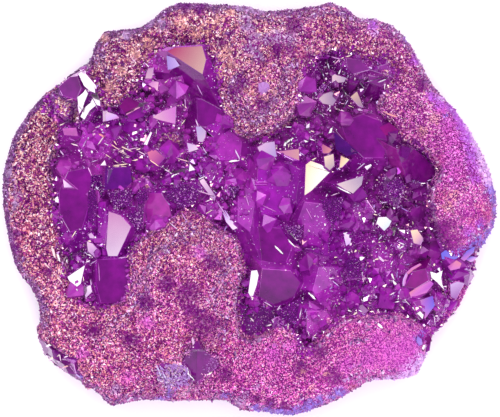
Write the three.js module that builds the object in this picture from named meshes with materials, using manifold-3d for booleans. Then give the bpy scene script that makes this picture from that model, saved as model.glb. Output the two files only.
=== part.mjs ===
// Titanium aura quartz cluster: a thick slab of rock skinned with sugar-fine quartz, with a hollow shaped
// like a butterfly that is full of larger glassy points. Millimetres, +Z up. It rests on its flat cut back
// with the crystals up, its long side along X and its short side along Y.
//
// Places are read off a plan drawing on a grid 500 units wide and 417 high, y down, seen straight from above.

import * as THREE from 'three';
import { ConvexGeometry } from 'three/addons/geometries/ConvexGeometry.js';
import { mergeVertices } from 'three/addons/utils/BufferGeometryUtils.js';
import Module from 'manifold-3d';

const wasm = await Module();
wasm.setup();

// ---------------------------------------------------------------- driving dimensions, mm
const LENGTH = 120; // the slab from its left to its right edge
const GRID_WIDTH = 500; // plan units across that length
const UNIT = LENGTH / GRID_WIDTH;
const GRID_MIDDLE = [250, 208.5]; // the plan point that lies at x = 0, y = 0

const EDGE_HEIGHT = 11; // where the slab is widest
const CROWN_HEIGHT = 22.5; // the drusy skin between its mounds
const RIM_DROP = 5.2; // how far the skin rolls down towards the hollow
const RIM_REACH = 7.5; // and over what distance
const SHOULDER_POWER = 5.5; // how late the crown starts to roll over towards the edge
const SHOULDER_ROUNDING = 2.4; // and how full the roll is
const BACK_SCALE = 0.8; // the flat cut back against the widest section
const FLOOR_HEIGHT = 8.5; // the rock under the hollow
const MOUTH_FLOOR = 11.2; // the rock under the hollow's ways out
const BED_THICKNESS = 2.6; // the crust that all the hollow's points grow from
const CLEARANCE = 0.3; // between a crystal piece and the rock that holds it
const FLOOR_INSET = 1.0; // the hollow's walls lean in by this at the floor
const RIM_FLARE = 1.2; // and open out by this above the crown
const WALL_KNEE = 15.5; // height where the walls pass through the drawn outline
const WALL_TOP = 34; // clear above the highest mound

const SPOKES = 88; // points round the slab
const TOP_RINGS = 17; // rings from its middle to its edge
const RING_CROWDING = 1.25; // above 1 the rings stand closer together near the edge

// how uneven the sides are: a share of the slab's size, radians from one spoke to the next and up the side
const EDGE_RIPPLE = { share: 0.006, turn: 1.9, twist: 21 };

// the sides from the flat back up: share of the edge's height, and of the widest section
const BACK_STEPS = [[0, BACK_SCALE], [0.12, 0.86], [0.42, 0.945], [0.72, 0.985]];

// long low waves that keep the crown uneven: height in mm, radians per mm along x and y, and the start
const CROWN_WAVES = [
  { height: 0.4, along: [0.83, -0.52], start: 0 },
  { height: 0.3, along: [0.63, 1.07], start: 2.1 },
  { height: 0.275, along: [0.41, -0.37], start: 3.27 },
  { height: 0.275, along: [0.41, 0.37], start: -0.67 },
];

// ---------------------------------------------------------------- plan drawing, grid units
const OUTLINE = [
  [2, 195], [6, 160], [20, 124], [44, 95], [66, 80], [86, 65], [97, 41], [106, 30], [138, 29], [154, 19],
  [165, 8], [185, 2], [218, 5], [240, 4], [258, 10], [283, 10], [313, 6], [330, 2], [348, 8], [361, 19],
  [381, 20], [400, 31], [417, 55], [433, 85], [455, 110], [475, 138], [491, 175], [498, 203], [492, 230],
  [476, 257], [467, 285], [459, 304], [446, 321], [433, 331], [430, 349], [417, 374], [398, 380], [368, 381],
  [350, 393], [322, 407], [290, 416], [258, 411], [238, 410], [226, 400], [192, 401], [170, 402], [137, 400],
  [110, 407], [98, 394], [68, 373], [41, 349], [39, 322], [37, 298], [18, 270], [8, 240],
];

const HOLLOW = [
  [168, 50], [204, 47], [211, 62], [218, 76], [220, 92], [228, 118], [237, 132], [252, 137], [275, 131],
  [291, 118], [299, 100], [303, 76], [316, 58], [330, 50], [345, 53], [362, 62], [385, 60], [395, 74],
  [383, 98], [378, 110], [392, 122], [400, 139], [425, 151], [441, 170], [431, 190], [430, 208], [440, 238],
  [452, 252], [473, 262], [465, 284], [457, 303], [444, 319], [431, 330], [418, 327], [398, 317], [370, 317],
  [340, 321], [326, 333], [310, 350], [302, 350], [292, 332], [278, 328], [250, 341], [239, 335], [236, 305],
  [243, 268], [236, 240], [214, 227], [198, 213], [186, 210], [166, 226], [140, 239], [131, 254], [132, 282],
  [127, 302], [100, 310], [82, 304], [68, 276], [60, 242], [54, 200], [49, 165], [56, 140], [60, 124],
  [50, 110], [48, 98], [68, 82], [86, 69], [97, 84], [103, 106], [115, 106], [133, 96], [142, 78], [150, 62],
];

// where the hollow runs out through the slab's edge
const MOUTHS = [
  [[443, 244], [452, 252], [470, 258], [500, 256], [500, 330], [440, 345], [431, 330], [431, 300]],
  [[48, 98], [40, 92], [60, 60], [80, 60], [86, 69], [80, 90]],
];

// gaussian swellings of the drusy crown: plan place, reach in grid units, height in mm
const MOUNDS = [
  { at: [185, 295], reach: 62, height: 4.6 },
  { at: [256, 88], reach: 40, height: 3.6 },
  { at: [110, 66], reach: 36, height: 1.6 },
  { at: [28, 190], reach: 34, height: 1.4 },
  { at: [62, 320], reach: 30, height: 1.2 },
  { at: [340, 32], reach: 34, height: 1.6 },
  { at: [458, 175], reach: 46, height: 2.6 },
  { at: [352, 358], reach: 48, height: 2.2 },
  { at: [255, 372], reach: 30, height: -1.4 },
];

// a face leans by a tilt from level, towards an azimuth counted from +X, both in degrees
const LEANS = {
  bright: [20, 115],
  warm: [17, 50],
  lilac: [18, 238],
  level: [3, 150],
  left: [27, 185],
  right: [26, 352],
  up: [30, 88],
  down: [28, 285],
  steepLeft: [40, 200],
  steepRight: [42, 335],
  roofLeft: [33, 237],
  roofRight: [30.4, 292],
  roofBack: [14, 82],
  slope: [25, 262],
};

// The points of the hollow whose lead face shows from above: the face's corners on the plan, the height of
// its middle, the way it leans, and how steeply the crystal's flanks fall away from it.
const LEAD_FACES = [
  // upper left pocket
  { z: 20.5, lean: 'left', steep: 66, at: [68, 79, 80, 78, 84, 90, 79, 101, 65, 97, 60, 88] },
  { z: 21.5, lean: 'bright', steep: 76, at: [82, 75, 88, 75, 101, 90, 91, 94] },
  { z: 20.8, lean: 'bright', steep: 78, at: [92, 95, 101, 91, 103, 108, 99, 107] },
  { z: 20.4, lean: 'bright', steep: 78, at: [84, 85, 88, 95, 86, 109, 82, 116, 80, 108] },
  { z: 19.6, lean: 'level', steep: 72, at: [88, 96, 98, 101, 98, 109, 86, 109] },
  { z: 19.5, lean: 'bright', steep: 76, at: [87, 111, 98, 110, 90, 122, 84, 122] },
  { z: 17.6, lean: 'down', steep: 64, at: [57, 98, 72, 104, 70, 118, 58, 112] },
  // the big crystal at the top of the left lobe
  { z: 22.0, lean: 'warm', steep: 47, at: [168, 54, 176, 50, 203, 48, 207, 62, 203.5, 77] },
  { z: 20.0, lean: 'lilac', steep: 72, at: [168, 58, 181, 68, 171, 73, 168, 66] },
  { z: 18.6, lean: 'lilac', steep: 74, at: [149, 70, 155, 69, 153, 80, 145, 83] },
  { z: 18.4, lean: 'warm', steep: 74, at: [152, 82, 160, 83, 159, 93, 147, 84] },
  { z: 17.5, lean: 'bright', steep: 78, at: [147, 101, 155, 94, 151, 109, 146, 113, 143, 112] },
  { z: 17.8, lean: 'steepLeft', steep: 62, at: [165, 80, 182, 78, 184, 96, 168, 94] },
  { z: 17.4, lean: 'level', steep: 60, at: [197, 100, 216, 100, 226, 120, 214, 138, 198, 124] },
  { z: 16.8, lean: 'lilac', steep: 76, at: [196, 127, 207, 127, 206, 138, 203, 143, 198, 142] },
  // left lobe, upper half
  { z: 18.6, lean: 'left', steep: 68, at: [131, 99, 141, 104, 127, 113, 122, 108] },
  { z: 18.0, lean: 'lilac', steep: 76, at: [104, 111, 113, 112, 121, 117, 104, 123] },
  { z: 17.3, lean: 'lilac', steep: 70, at: [152, 118, 163, 112, 177, 107, 176, 125, 160, 121] },
  { z: 16.8, lean: 'level', steep: 58, at: [86, 128, 104, 126, 112, 140, 104, 158, 88, 158, 80, 144] },
  { z: 17.6, lean: 'warm', steep: 66, at: [64, 129, 78, 128, 80, 137, 66, 136] },
  { z: 15.5, lean: 'bright', steep: 80, at: [144, 145, 151, 132, 153, 133, 148, 146] },
  { z: 16.0, lean: 'warm', steep: 64, at: [147, 151, 156, 150, 166, 158, 158, 166, 150, 160] },
  { z: 15.6, lean: 'level', steep: 60, at: [206, 146, 230, 130, 242, 142, 240, 160, 220, 160] },
  { z: 16.4, lean: 'lilac', steep: 74, at: [187, 143, 198, 146, 199, 150, 189, 153] },
  // left lobe, left wall and middle
  {
    z: 18.6, lean: 'level', steep: 56,
    at: [70, 172, 90, 168, 97, 184, 90, 208, 88, 226, 72, 232, 62, 214, 61, 192],
  },
  { z: 19.6, lean: 'lilac', steep: 76, at: [65, 179, 76, 188, 66, 188] },
  { z: 18.2, lean: 'bright', steep: 78, at: [57, 198, 61, 195, 61, 203, 57, 202] },
  { z: 17.4, lean: 'right', steep: 66, at: [92, 191, 97, 192, 97, 226, 90, 227] },
  { z: 17.0, lean: 'left', steep: 68, at: [99, 202, 107, 202, 109, 222, 106, 246, 99, 240] },
  { z: 15.8, lean: 'steepRight', steep: 62, at: [110, 170, 128, 167, 134, 174, 125, 186, 108, 190] },
  { z: 15.4, lean: 'down', steep: 66, at: [108, 192, 126, 188, 134, 196, 130, 208, 116, 209] },
  { z: 17.0, lean: 'bright', steep: 78, at: [101, 166, 106, 160, 108, 166] },
  {
    z: 17.4, lean: 'lilac', steep: 66,
    at: [110, 211, 122, 215, 133, 227, 126, 241, 119, 256, 109, 256, 107, 248],
  },
  { z: 16.8, lean: 'lilac', steep: 74, at: [88, 241, 94, 243, 100, 250, 97, 258, 89, 251] },
  { z: 16.9, lean: 'lilac', steep: 74, at: [89, 234, 93, 232, 98, 239, 91, 238] },
  {
    z: 16.6, lean: 'level', steep: 64,
    at: [98, 259, 128, 258, 130, 278, 129, 297, 122, 303, 102, 302, 97, 282],
  },
  { z: 18.6, lean: 'bright', steep: 70, at: [87, 264, 83, 283, 79, 286, 71, 280, 69, 276] },
  { z: 17.0, lean: 'bright', steep: 74, at: [85, 287, 92, 284, 94, 291, 87, 298] },
  // left lobe, right half
  {
    z: 16.2, lean: 'left', steep: 64,
    at: [150, 193, 162, 193, 170, 205, 172, 216, 159, 222, 148, 220, 146, 206],
  },
  { z: 15.6, lean: 'down', steep: 60, at: [147, 224, 166, 221, 154, 231, 146, 233] },
  {
    z: 16.6, lean: 'level', steep: 66,
    at: [180, 185, 198, 182, 203, 190, 192, 205, 178, 208, 166, 198, 170, 193],
  },
  { z: 15.8, lean: 'right', steep: 66, at: [139, 192, 146, 190, 144, 226, 137, 222] },
  { z: 16.9, lean: 'bright', steep: 80, at: [199, 181, 204, 178, 216, 196, 215, 201, 210, 196] },
  { z: 16.4, lean: 'bright', steep: 80, at: [221, 208, 225, 209, 238, 228, 233, 230, 226, 222] },
  { z: 16.2, lean: 'bright', steep: 80, at: [176, 177, 187, 173, 192, 168, 182, 178] },
  { z: 16.2, lean: 'bright', steep: 78, at: [190, 163, 196, 170, 189, 172] },
  { z: 15.2, lean: 'right', steep: 60, at: [203, 160, 222, 162, 225, 182, 214, 188, 206, 176] },
  { z: 15.4, lean: 'left', steep: 62, at: [199, 203, 213, 205, 217, 213, 209, 222, 198, 213] },
  { z: 16.0, lean: 'lilac', steep: 70, at: [224, 188, 231, 172, 236, 184, 229, 197] },
  { z: 15.6, lean: 'up', steep: 56, at: [238, 178, 250, 168, 256, 196, 250, 232, 238, 222] },
  // right lobe, upper half
  { z: 19.0, lean: 'warm', steep: 72, at: [331, 75, 338, 77, 346, 79, 343, 84, 331, 85] },
  { z: 18.2, lean: 'warm', steep: 70, at: [317, 99, 323, 95, 332, 92, 337, 99, 332, 107, 322, 105] },
  { z: 17.8, lean: 'warm', steep: 72, at: [349, 98, 356, 92, 363, 109, 357, 107] },
  { z: 17.2, lean: 'lilac', steep: 74, at: [352, 112, 358, 109, 364, 112] },
  { z: 20.2, lean: 'left', steep: 58, at: [345, 60, 358, 62, 368, 72, 352, 76, 346, 70] },
  { z: 19.0, lean: 'down', steep: 56, at: [366, 72, 384, 66, 390, 74, 380, 88, 368, 84] },
  {
    z: 17.4, lean: 'level', steep: 54,
    at: [340, 123, 362, 115, 380, 122, 386, 142, 382, 158, 362, 158, 346, 142],
  },
  { z: 16.6, lean: 'steepLeft', steep: 64, at: [333, 132, 343, 142, 353, 152, 344, 156, 334, 146] },
  { z: 16.6, lean: 'steepRight', steep: 58, at: [306, 84, 314, 72, 314, 100, 306, 112, 301, 104] },
  // right lobe, middle
  { z: 16.8, lean: 'lilac', steep: 72, at: [257, 148, 265, 143, 274, 142, 277, 157, 271, 159, 262, 158] },
  { z: 16.6, lean: 'warm', steep: 70, at: [276, 152, 299, 149, 299, 161, 293, 161] },
  {
    z: 18.2, lean: 'warm', steep: 68,
    at: [303.5, 196, 305, 165, 310, 161, 321, 165, 330, 172, 311, 191],
  },
  { z: 17.6, lean: 'warm', steep: 72, at: [323, 157, 333, 154, 334, 166, 329, 171, 324, 167] },
  { z: 17.0, lean: 'warm', steep: 72, at: [320, 143, 332, 150, 328, 154, 322, 154] },
  { z: 17.4, lean: 'warm', steep: 74, at: [340, 155, 349, 160, 341, 168, 338, 169] },
  { z: 17.2, lean: 'warm', steep: 70, at: [335, 184, 348, 180, 363, 175, 361, 185, 352, 194, 344, 190] },
  { z: 16.8, lean: 'bright', steep: 76, at: [363, 167, 370, 164, 371, 166, 366, 171] },
  {
    z: 16.4, lean: 'steepLeft', steep: 64,
    at: [384, 174, 395, 178, 402, 190, 396, 208, 384, 202, 378, 188],
  },
  {
    z: 16.8, lean: 'steepRight', steep: 58,
    at: [394, 150, 410, 148, 424, 158, 436, 172, 424, 184, 404, 176],
  },
  { z: 16.9, lean: 'bright', steep: 72, at: [377, 217, 393, 216, 388, 226, 383, 231, 375, 223] },
  { z: 16.9, lean: 'warm', steep: 72, at: [409, 230, 416, 229, 422, 238, 419, 245, 412, 243] },
  {
    z: 15.2, lean: 'level', steep: 56,
    at: [258, 166, 288, 163, 300, 170, 300, 196, 284, 214, 262, 216, 256, 196],
  },
  { z: 15.0, lean: 'down', steep: 56, at: [304, 202, 322, 204, 328, 228, 320, 246, 304, 244, 297, 222] },
  { z: 15.0, lean: 'left', steep: 58, at: [345, 198, 366, 200, 374, 212, 354, 232, 343, 216] },
  { z: 15.8, lean: 'level', steep: 70, at: [284, 225, 302, 226, 299, 240, 288, 234] },
  { z: 15.6, lean: 'level', steep: 66, at: [321, 200, 334, 199, 340, 214, 330, 225] },
  // right lobe, lower half
  { z: 17.4, lean: 'bright', steep: 74, at: [251, 270, 260, 269, 257, 284, 252, 298, 248, 292] },
  { z: 16.0, lean: 'down', steep: 58, at: [262, 268, 290, 270, 300, 282, 292, 300, 276, 306, 259, 296] },
  { z: 16.0, lean: 'level', steep: 62, at: [254, 226, 280, 228, 292, 246, 286, 262, 262, 262, 250, 246] },
  { z: 16.2, lean: 'level', steep: 66, at: [275, 312, 286, 306, 301, 305, 303, 292, 297, 322, 290, 327] },
  {
    z: 15.8, lean: 'steepRight', steep: 60,
    at: [318, 266, 338, 266, 344, 284, 338, 304, 322, 306, 312, 290],
  },
  { z: 15.4, lean: 'down', steep: 60, at: [306, 310, 326, 310, 332, 320, 318, 336, 306, 334] },
  { z: 16.4, lean: 'bright', steep: 78, at: [296, 334, 299, 335, 305, 349, 302, 349] },
  { z: 15.8, lean: 'level', steep: 68, at: [344, 268, 350, 260, 358, 256, 362, 264, 360, 278, 350, 279] },
  // lower right, out to the slab's edge
  { z: 16.6, lean: 'left', steep: 64, at: [404, 286, 412, 271, 424, 268, 427, 280, 414, 288] },
  { z: 15.8, lean: 'down', steep: 62, at: [410, 297, 428, 285, 431, 289, 418, 298] },
  { z: 15.6, lean: 'right', steep: 66, at: [412, 301, 427, 298, 431, 306, 427, 313, 421, 315] },
  { z: 16.4, lean: 'bright', steep: 76, at: [430, 272, 440, 274, 441, 287, 436, 283] },
  { z: 14.6, lean: 'bright', steep: 76, at: [412, 309, 423, 318, 418, 319] },
  { z: 13.8, lean: 'lilac', steep: 66, at: [449, 284, 456, 281, 465, 283, 462, 293, 455, 299, 450, 297] },
  { z: 15.2, lean: 'steepRight', steep: 62, at: [434, 292, 444, 296, 443, 310, 436, 318, 433, 304] },
  { z: 15.4, lean: 'up', steep: 60, at: [443, 256, 458, 258, 466, 266, 452, 268] },
];

// The smaller points that fill the rest of the hollow. Their places, sizes and leans are spread evenly: each
// goes round by a step of its own and never comes back to the same value.
const FILL_STEPS = {
  x: 0.7548776662,
  y: 0.569840291,
  height: Math.sqrt(5) / 2,
  tilt: Math.sqrt(2),
  azimuth: Math.sqrt(3),
  size: Math.sqrt(5),
  roll: Math.sqrt(11),
};
const FILL_TRIES = 360;
const FILL_SPACING = 4.6; // mm, the least between two of their tips
const FILL_RADIUS = [1.6, 2.9]; // mm, least and most
const FILL_HEIGHT = [12.6, 15.8]; // mm, of the tips
const FILL_LEAN = [18, 56]; // degrees from upright
const FILL_MARGIN = 1.0; // mm, between their tips and the hollow's walls
const FILL_THINNESS = 1.6; // above 1 the thin ones are the commoner

// how unequal a small point's side faces are, and the radians from one of them to the next
const SIDE_SKEW = { share: 0.12, turn: 2.1 };

// quartz: the angle between the long axis and the normal of an end face
const END_FACE_ANGLE = THREE.MathUtils.degToRad(52);

// a smooth crystal whose end faces meet in a ridge, and its low neighbour, sunk in the skin below the hollow
const KNOB_FACES = [
  { z: 22.95, lean: 'roofLeft', steep: 62, at: [198, 345, 197.5, 380, 185, 362, 184, 358, 188, 351] },
  { z: 22.65, lean: 'roofRight', steep: 62, at: [198, 345, 217, 355, 219, 362, 215, 367, 197.5, 380] },
  { z: 25.8, lean: 'roofBack', steep: 66, at: [198, 335, 203, 346, 193, 346] },
  {
    z: 21.4, lean: 'slope', steep: 52,
    at: [156, 361, 168, 357, 182, 360, 190, 368, 193, 378, 185, 386, 170, 385, 160, 379],
  },
];
const KNOB_ROOT_HEIGHT = 17;

// small points in a notch of the lower left edge
const NOTCH_FACES = [
  { z: 17.0, lean: 'left', steep: 60, at: [46, 341, 58, 340, 62, 348, 50, 350] },
  { z: 16.4, lean: 'bright', steep: 70, at: [51, 355, 63, 350, 68, 353, 57, 360] },
  { z: 18.0, lean: 'up', steep: 58, at: [62, 346, 74, 346, 84, 354, 76, 362, 66, 356] },
  { z: 16.8, lean: 'down', steep: 60, at: [66, 363, 78, 362, 86, 366, 80, 374, 70, 372] },
  { z: 17.4, lean: 'steepRight', steep: 64, at: [54, 348, 64, 350, 66, 362, 56, 358] },
];
const NOTCH_ROOT_HEIGHT = 10.5;

// a small round pit with a raised lip in the upper drusy lobe
const RING_PIT = { at: [263, 88], radius: 1.5, floor: 1.05, depth: 1.6, sides: 14 };

const ROCK = new THREE.MeshStandardMaterial({ color: 0xb2639a, roughness: 0.55, metalness: 0.15 });
const GLASSY = new THREE.MeshStandardMaterial({ color: 0x7c2a8a, roughness: 0.12, metalness: 0.3 });
const GLASSY_KNOB = new THREE.MeshStandardMaterial({ color: 0x8a3a98, roughness: 0.18, metalness: 0.3 });
const GLASSY_NOTCH = new THREE.MeshStandardMaterial({ color: 0x74308c, roughness: 0.15, metalness: 0.3 });

// ---------------------------------------------------------------- small helpers
const UP = new THREE.Vector3(0, 0, 1);
const DOWN = new THREE.Vector3(0, 0, -1);
const SAME_CORNER = 1e-3; // mm, corners nearer than this are one
const ON_FACE = 1e-6; // mm, a corner this far outside a face still lies on it
const WELD = 1e-5; // mm, for the corners that triangles share
const LEAST_ANGLE = 1e-4; // faces nearer to parallel than this have no corner in common
const radians = THREE.MathUtils.degToRad;

function onPlan([x, y]) {
  return new THREE.Vector2((x - GRID_MIDDLE[0]) * UNIT, (GRID_MIDDLE[1] - y) * UNIT);
}

function pairs(flat) {
  const list = [];
  for (let i = 0; i < flat.length; i += 2) {
    list.push([flat[i], flat[i + 1]]);
  }
  return list;
}

function fraction(value) {
  return value - Math.floor(value);
}

function between([low, high], share) {
  return low + (high - low) * share;
}

function leaning([tilt, azimuth]) {
  const tilted = UP.clone().applyAxisAngle(new THREE.Vector3(0, 1, 0), radians(tilt));
  return tilted.applyAxisAngle(UP, radians(azimuth));
}

function insidePolygon(point, polygon) {
  let inside = false;
  for (let i = 0, j = polygon.length - 1; i < polygon.length; j = i, i += 1) {
    const a = polygon[i];
    const b = polygon[j];
    const crosses = a.y > point.y !== b.y > point.y;
    if (crosses && point.x < ((b.x - a.x) * (point.y - a.y)) / (b.y - a.y) + a.x) {
      inside = !inside;
    }
  }
  return inside;
}

// ---------------------------------------------------------------- between three.js and manifold
function toManifold(geometry) {
  const bare = geometry.clone();
  bare.deleteAttribute('normal');
  bare.deleteAttribute('uv');
  const welded = mergeVertices(bare, WELD);
  return new wasm.Manifold(new wasm.Mesh({
    numProp: 3,
    vertProperties: new Float32Array(welded.attributes.position.array),
    triVerts: new Uint32Array(welded.index.array),
  }));
}

function toGeometry(solid) {
  const mesh = solid.getMesh();
  const geometry = new THREE.BufferGeometry();
  geometry.setAttribute('position', new THREE.BufferAttribute(new Float32Array(mesh.vertProperties), 3));
  geometry.setIndex(new THREE.BufferAttribute(new Uint32Array(mesh.triVerts), 1));
  return geometry;
}

function joined(solids) {
  return solids.reduce((whole, solid) => whole.add(solid));
}

// a cut can leave crumbs beside the body that matters
function largestBody(solid) {
  return solid.decompose().reduce((best, body) => (body.volume() > best.volume() ? body : best));
}

// a closed body from rings of points that all have the same count, capped at both ends
function loft(rings) {
  const count = rings[0].length;
  const positions = rings.flat().flatMap((p) => [p.x, p.y, p.z]);
  const index = [];
  for (let r = 0; r + 1 < rings.length; r += 1) {
    for (let i = 0; i < count; i += 1) {
      const a = r * count + i;
      const b = r * count + ((i + 1) % count);
      index.push(a, b, b + count, a, b + count, a + count);
    }
  }
  const cap = THREE.ShapeUtils.triangulateShape(rings[0].map((p) => new THREE.Vector2(p.x, p.y)), []);
  const lid = (rings.length - 1) * count;
  for (const [a, b, c] of cap) {
    index.push(c, b, a, lid + a, lid + b, lid + c);
  }
  const geometry = new THREE.BufferGeometry();
  geometry.setAttribute('position', new THREE.Float32BufferAttribute(positions, 3));
  geometry.setIndex(index);
  return toManifold(geometry);
}

// a counter-clockwise outline moved inwards by a distance (outwards if it is negative)
function inset(outline, distance) {
  return outline.map((here, i) => {
    const before = outline[(i + outline.length - 1) % outline.length];
    const after = outline[(i + 1) % outline.length];
    const along = after.clone().sub(before).normalize();
    return here.clone().add(new THREE.Vector2(-along.y, along.x).multiplyScalar(distance));
  });
}

function counterClockwise(outline) {
  return THREE.ShapeUtils.isClockWise(outline) ? outline.slice().reverse() : outline;
}

function ringAt(outline, height) {
  return outline.map((p) => new THREE.Vector3(p.x, p.y, height));
}

// ---------------------------------------------------------------- the slab of rock
const edgeCurve = new THREE.CatmullRomCurve3(
  OUTLINE.map((point) => new THREE.Vector3(...onPlan(point), 0)), true, 'catmullrom', 0.5,
);
const edge = counterClockwise(
  edgeCurve.getSpacedPoints(SPOKES).slice(0, SPOKES).map((p) => new THREE.Vector2(p.x, p.y)),
);

const hollow = counterClockwise(HOLLOW.map(onPlan));

function distanceToHollow(point) {
  if (insidePolygon(point, hollow)) return 0;
  return Math.min(...hollow.map((start, i) => {
    const side = hollow[(i + 1) % hollow.length].clone().sub(start);
    const share = THREE.MathUtils.clamp(point.clone().sub(start).dot(side) / side.lengthSq(), 0, 1);
    return point.distanceTo(start.clone().addScaledVector(side, share));
  }));
}

function crownHeight(x, y) {
  const away = distanceToHollow(new THREE.Vector2(x, y));
  let height = CROWN_HEIGHT - RIM_DROP * (1 - THREE.MathUtils.smoothstep(away, 0, RIM_REACH));
  for (const mound of MOUNDS) {
    const middle = onPlan(mound.at);
    const reach = mound.reach * UNIT;
    height += mound.height * Math.exp(-((x - middle.x) ** 2 + (y - middle.y) ** 2) / (reach * reach));
  }
  for (const wave of CROWN_WAVES) {
    height += wave.height * Math.sin(wave.along[0] * x + wave.along[1] * y + wave.start);
  }
  return height;
}

function slab(grow) {
  const rings = [];
  for (const [share, scale] of BACK_STEPS) {
    rings.push(edge.map((p, i) => {
      const wave = Math.sin(i * EDGE_RIPPLE.turn + share * EDGE_RIPPLE.twist);
      const reach = share > 0 ? scale * (1 + EDGE_RIPPLE.share * wave) : scale;
      return new THREE.Vector3(p.x * reach, p.y * reach, share * EDGE_HEIGHT);
    }));
  }
  for (let r = 0; r < TOP_RINGS; r += 1) {
    const scale = 1 - (r / TOP_RINGS) ** RING_CROWDING;
    const rise = (1 - scale ** SHOULDER_POWER) ** (1 / SHOULDER_ROUNDING);
    rings.push(edge.map((p) => {
      const x = p.x * scale;
      const y = p.y * scale;
      return new THREE.Vector3(x, y, EDGE_HEIGHT + (crownHeight(x, y) - EDGE_HEIGHT) * rise);
    }));
  }
  const lifted = rings.map((ring) => ring.map((p) => {
    const out = new THREE.Vector2(p.x, p.y).setLength(grow);
    return new THREE.Vector3(p.x + out.x, p.y + out.y, p.z + grow);
  }));
  return loft(lifted);
}

// ---------------------------------------------------------------- the hollow
function cavity(clearance) {
  return loft([
    ringAt(inset(hollow, FLOOR_INSET + clearance), FLOOR_HEIGHT + clearance),
    ringAt(inset(hollow, clearance), WALL_KNEE),
    ringAt(inset(hollow, clearance - RIM_FLARE), WALL_TOP),
  ]);
}

function mouth(corners) {
  const outline = counterClockwise(corners.map(onPlan));
  return loft([ringAt(outline, MOUTH_FLOOR), ringAt(outline, WALL_TOP)]);
}

function ringPit() {
  const middle = onPlan(RING_PIT.at);
  const surface = crownHeight(middle.x, middle.y);
  const height = 2 * RING_PIT.depth;
  const pit = new THREE.CylinderGeometry(RING_PIT.radius, RING_PIT.floor, height, RING_PIT.sides);
  pit.rotateX(Math.PI / 2);
  pit.translate(middle.x, middle.y, surface);
  return toManifold(pit);
}

// ---------------------------------------------------------------- crystals
// A crystal is the space behind a set of flat faces, each an outward normal and its distance from the origin.
function face(normal, through) {
  return { normal, reach: normal.dot(through) };
}

function crystalFrom(faces, grow = 0) {
  const corners = [];
  const reaches = faces.map((f) => f.reach + grow);
  for (let i = 0; i < faces.length; i += 1) {
    for (let j = i + 1; j < faces.length; j += 1) {
      for (let k = j + 1; k < faces.length; k += 1) {
        const [a, b, c] = [faces[i].normal, faces[j].normal, faces[k].normal];
        const scale = a.dot(b.clone().cross(c));
        if (Math.abs(scale) < LEAST_ANGLE) continue;
        const corner = b.clone().cross(c).multiplyScalar(reaches[i])
          .add(c.clone().cross(a).multiplyScalar(reaches[j]))
          .add(a.clone().cross(b).multiplyScalar(reaches[k]))
          .divideScalar(scale);
        const held = faces.every((f, n) => f.normal.dot(corner) < reaches[n] + ON_FACE);
        if (held && corners.every((other) => other.distanceTo(corner) > SAME_CORNER)) {
          corners.push(corner);
        }
      }
    }
  }
  return toManifold(new ConvexGeometry(corners));
}

// a crystal known by its lead face, growing up from a root height
function leadCrystal(shape, rootHeight, grow = 0) {
  const corners = counterClockwise(pairs(shape.at).map(onPlan));
  const middle = corners.reduce((sum, p) => sum.add(p), new THREE.Vector2()).divideScalar(corners.length);
  const normal = leaning(LEANS[shape.lean]);
  const faces = [face(normal, new THREE.Vector3(middle.x, middle.y, shape.z))];
  const lift = (p) => {
    const drop = (normal.x * (p.x - middle.x) + normal.y * (p.y - middle.y)) / normal.z;
    return new THREE.Vector3(p.x, p.y, shape.z - drop);
  };
  corners.forEach((corner, i) => {
    const from = lift(corner);
    const along = lift(corners[(i + 1) % corners.length]).sub(from).normalize();
    const outward = new THREE.Vector3(along.y, -along.x, 0).setLength(Math.sin(radians(shape.steep)));
    const flank = outward.add(new THREE.Vector3(0, 0, Math.cos(radians(shape.steep))));
    flank.addScaledVector(along, -flank.dot(along)).normalize();
    faces.push(face(flank, from));
  });
  faces.push(face(DOWN, new THREE.Vector3(0, 0, rootHeight)));
  return crystalFrom(faces, grow);
}

// a six-sided quartz point whose three large end faces meet at its tip
function quartzPoint(tip, lean, radius, roll, rootHeight) {
  const axis = leaning(lean);
  const side = new THREE.Vector3(axis.z, 0, -axis.x).normalize().applyAxisAngle(axis, roll);
  const faces = [face(DOWN, new THREE.Vector3(0, 0, rootHeight))];
  for (let k = 0; k < 6; k += 1) {
    const across = side.clone().applyAxisAngle(axis, (k * Math.PI) / 3);
    const width = radius * (1 + SIDE_SKEW.share * Math.cos(SIDE_SKEW.turn * k + roll));
    faces.push(face(across, tip.clone().addScaledVector(across, width)));
    if (k % 2 === 0) {
      const end = axis.clone().multiplyScalar(Math.cos(END_FACE_ANGLE));
      faces.push(face(end.addScaledVector(across, Math.sin(END_FACE_ANGLE)), tip));
    }
  }
  return crystalFrom(faces);
}

function fillPoints(leadOutlines) {
  const points = [];
  const box = new THREE.Box2().setFromPoints(hollow);
  const size = box.getSize(new THREE.Vector2());
  const walls = inset(hollow, FILL_MARGIN);
  const places = [];
  for (let n = 0; n < FILL_TRIES; n += 1) {
    const place = new THREE.Vector2(
      box.min.x + size.x * fraction(0.5 + n * FILL_STEPS.x),
      box.min.y + size.y * fraction(0.5 + n * FILL_STEPS.y),
    );
    const taken = leadOutlines.some((outline) => insidePolygon(place, outline))
      || places.some((other) => other.distanceTo(place) < FILL_SPACING);
    if (taken || !insidePolygon(place, walls)) continue;
    places.push(place);
    const tip = new THREE.Vector3(place.x, place.y, between(FILL_HEIGHT, fraction(n * FILL_STEPS.height)));
    const lean = [between(FILL_LEAN, fraction(n * FILL_STEPS.tilt)), 360 * fraction(n * FILL_STEPS.azimuth)];
    const radius = between(FILL_RADIUS, fraction(n * FILL_STEPS.size) ** FILL_THINNESS);
    const roll = 2 * Math.PI * fraction(n * FILL_STEPS.roll);
    points.push(quartzPoint(tip, lean, radius, roll, FLOOR_HEIGHT));
  }
  return points;
}

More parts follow.
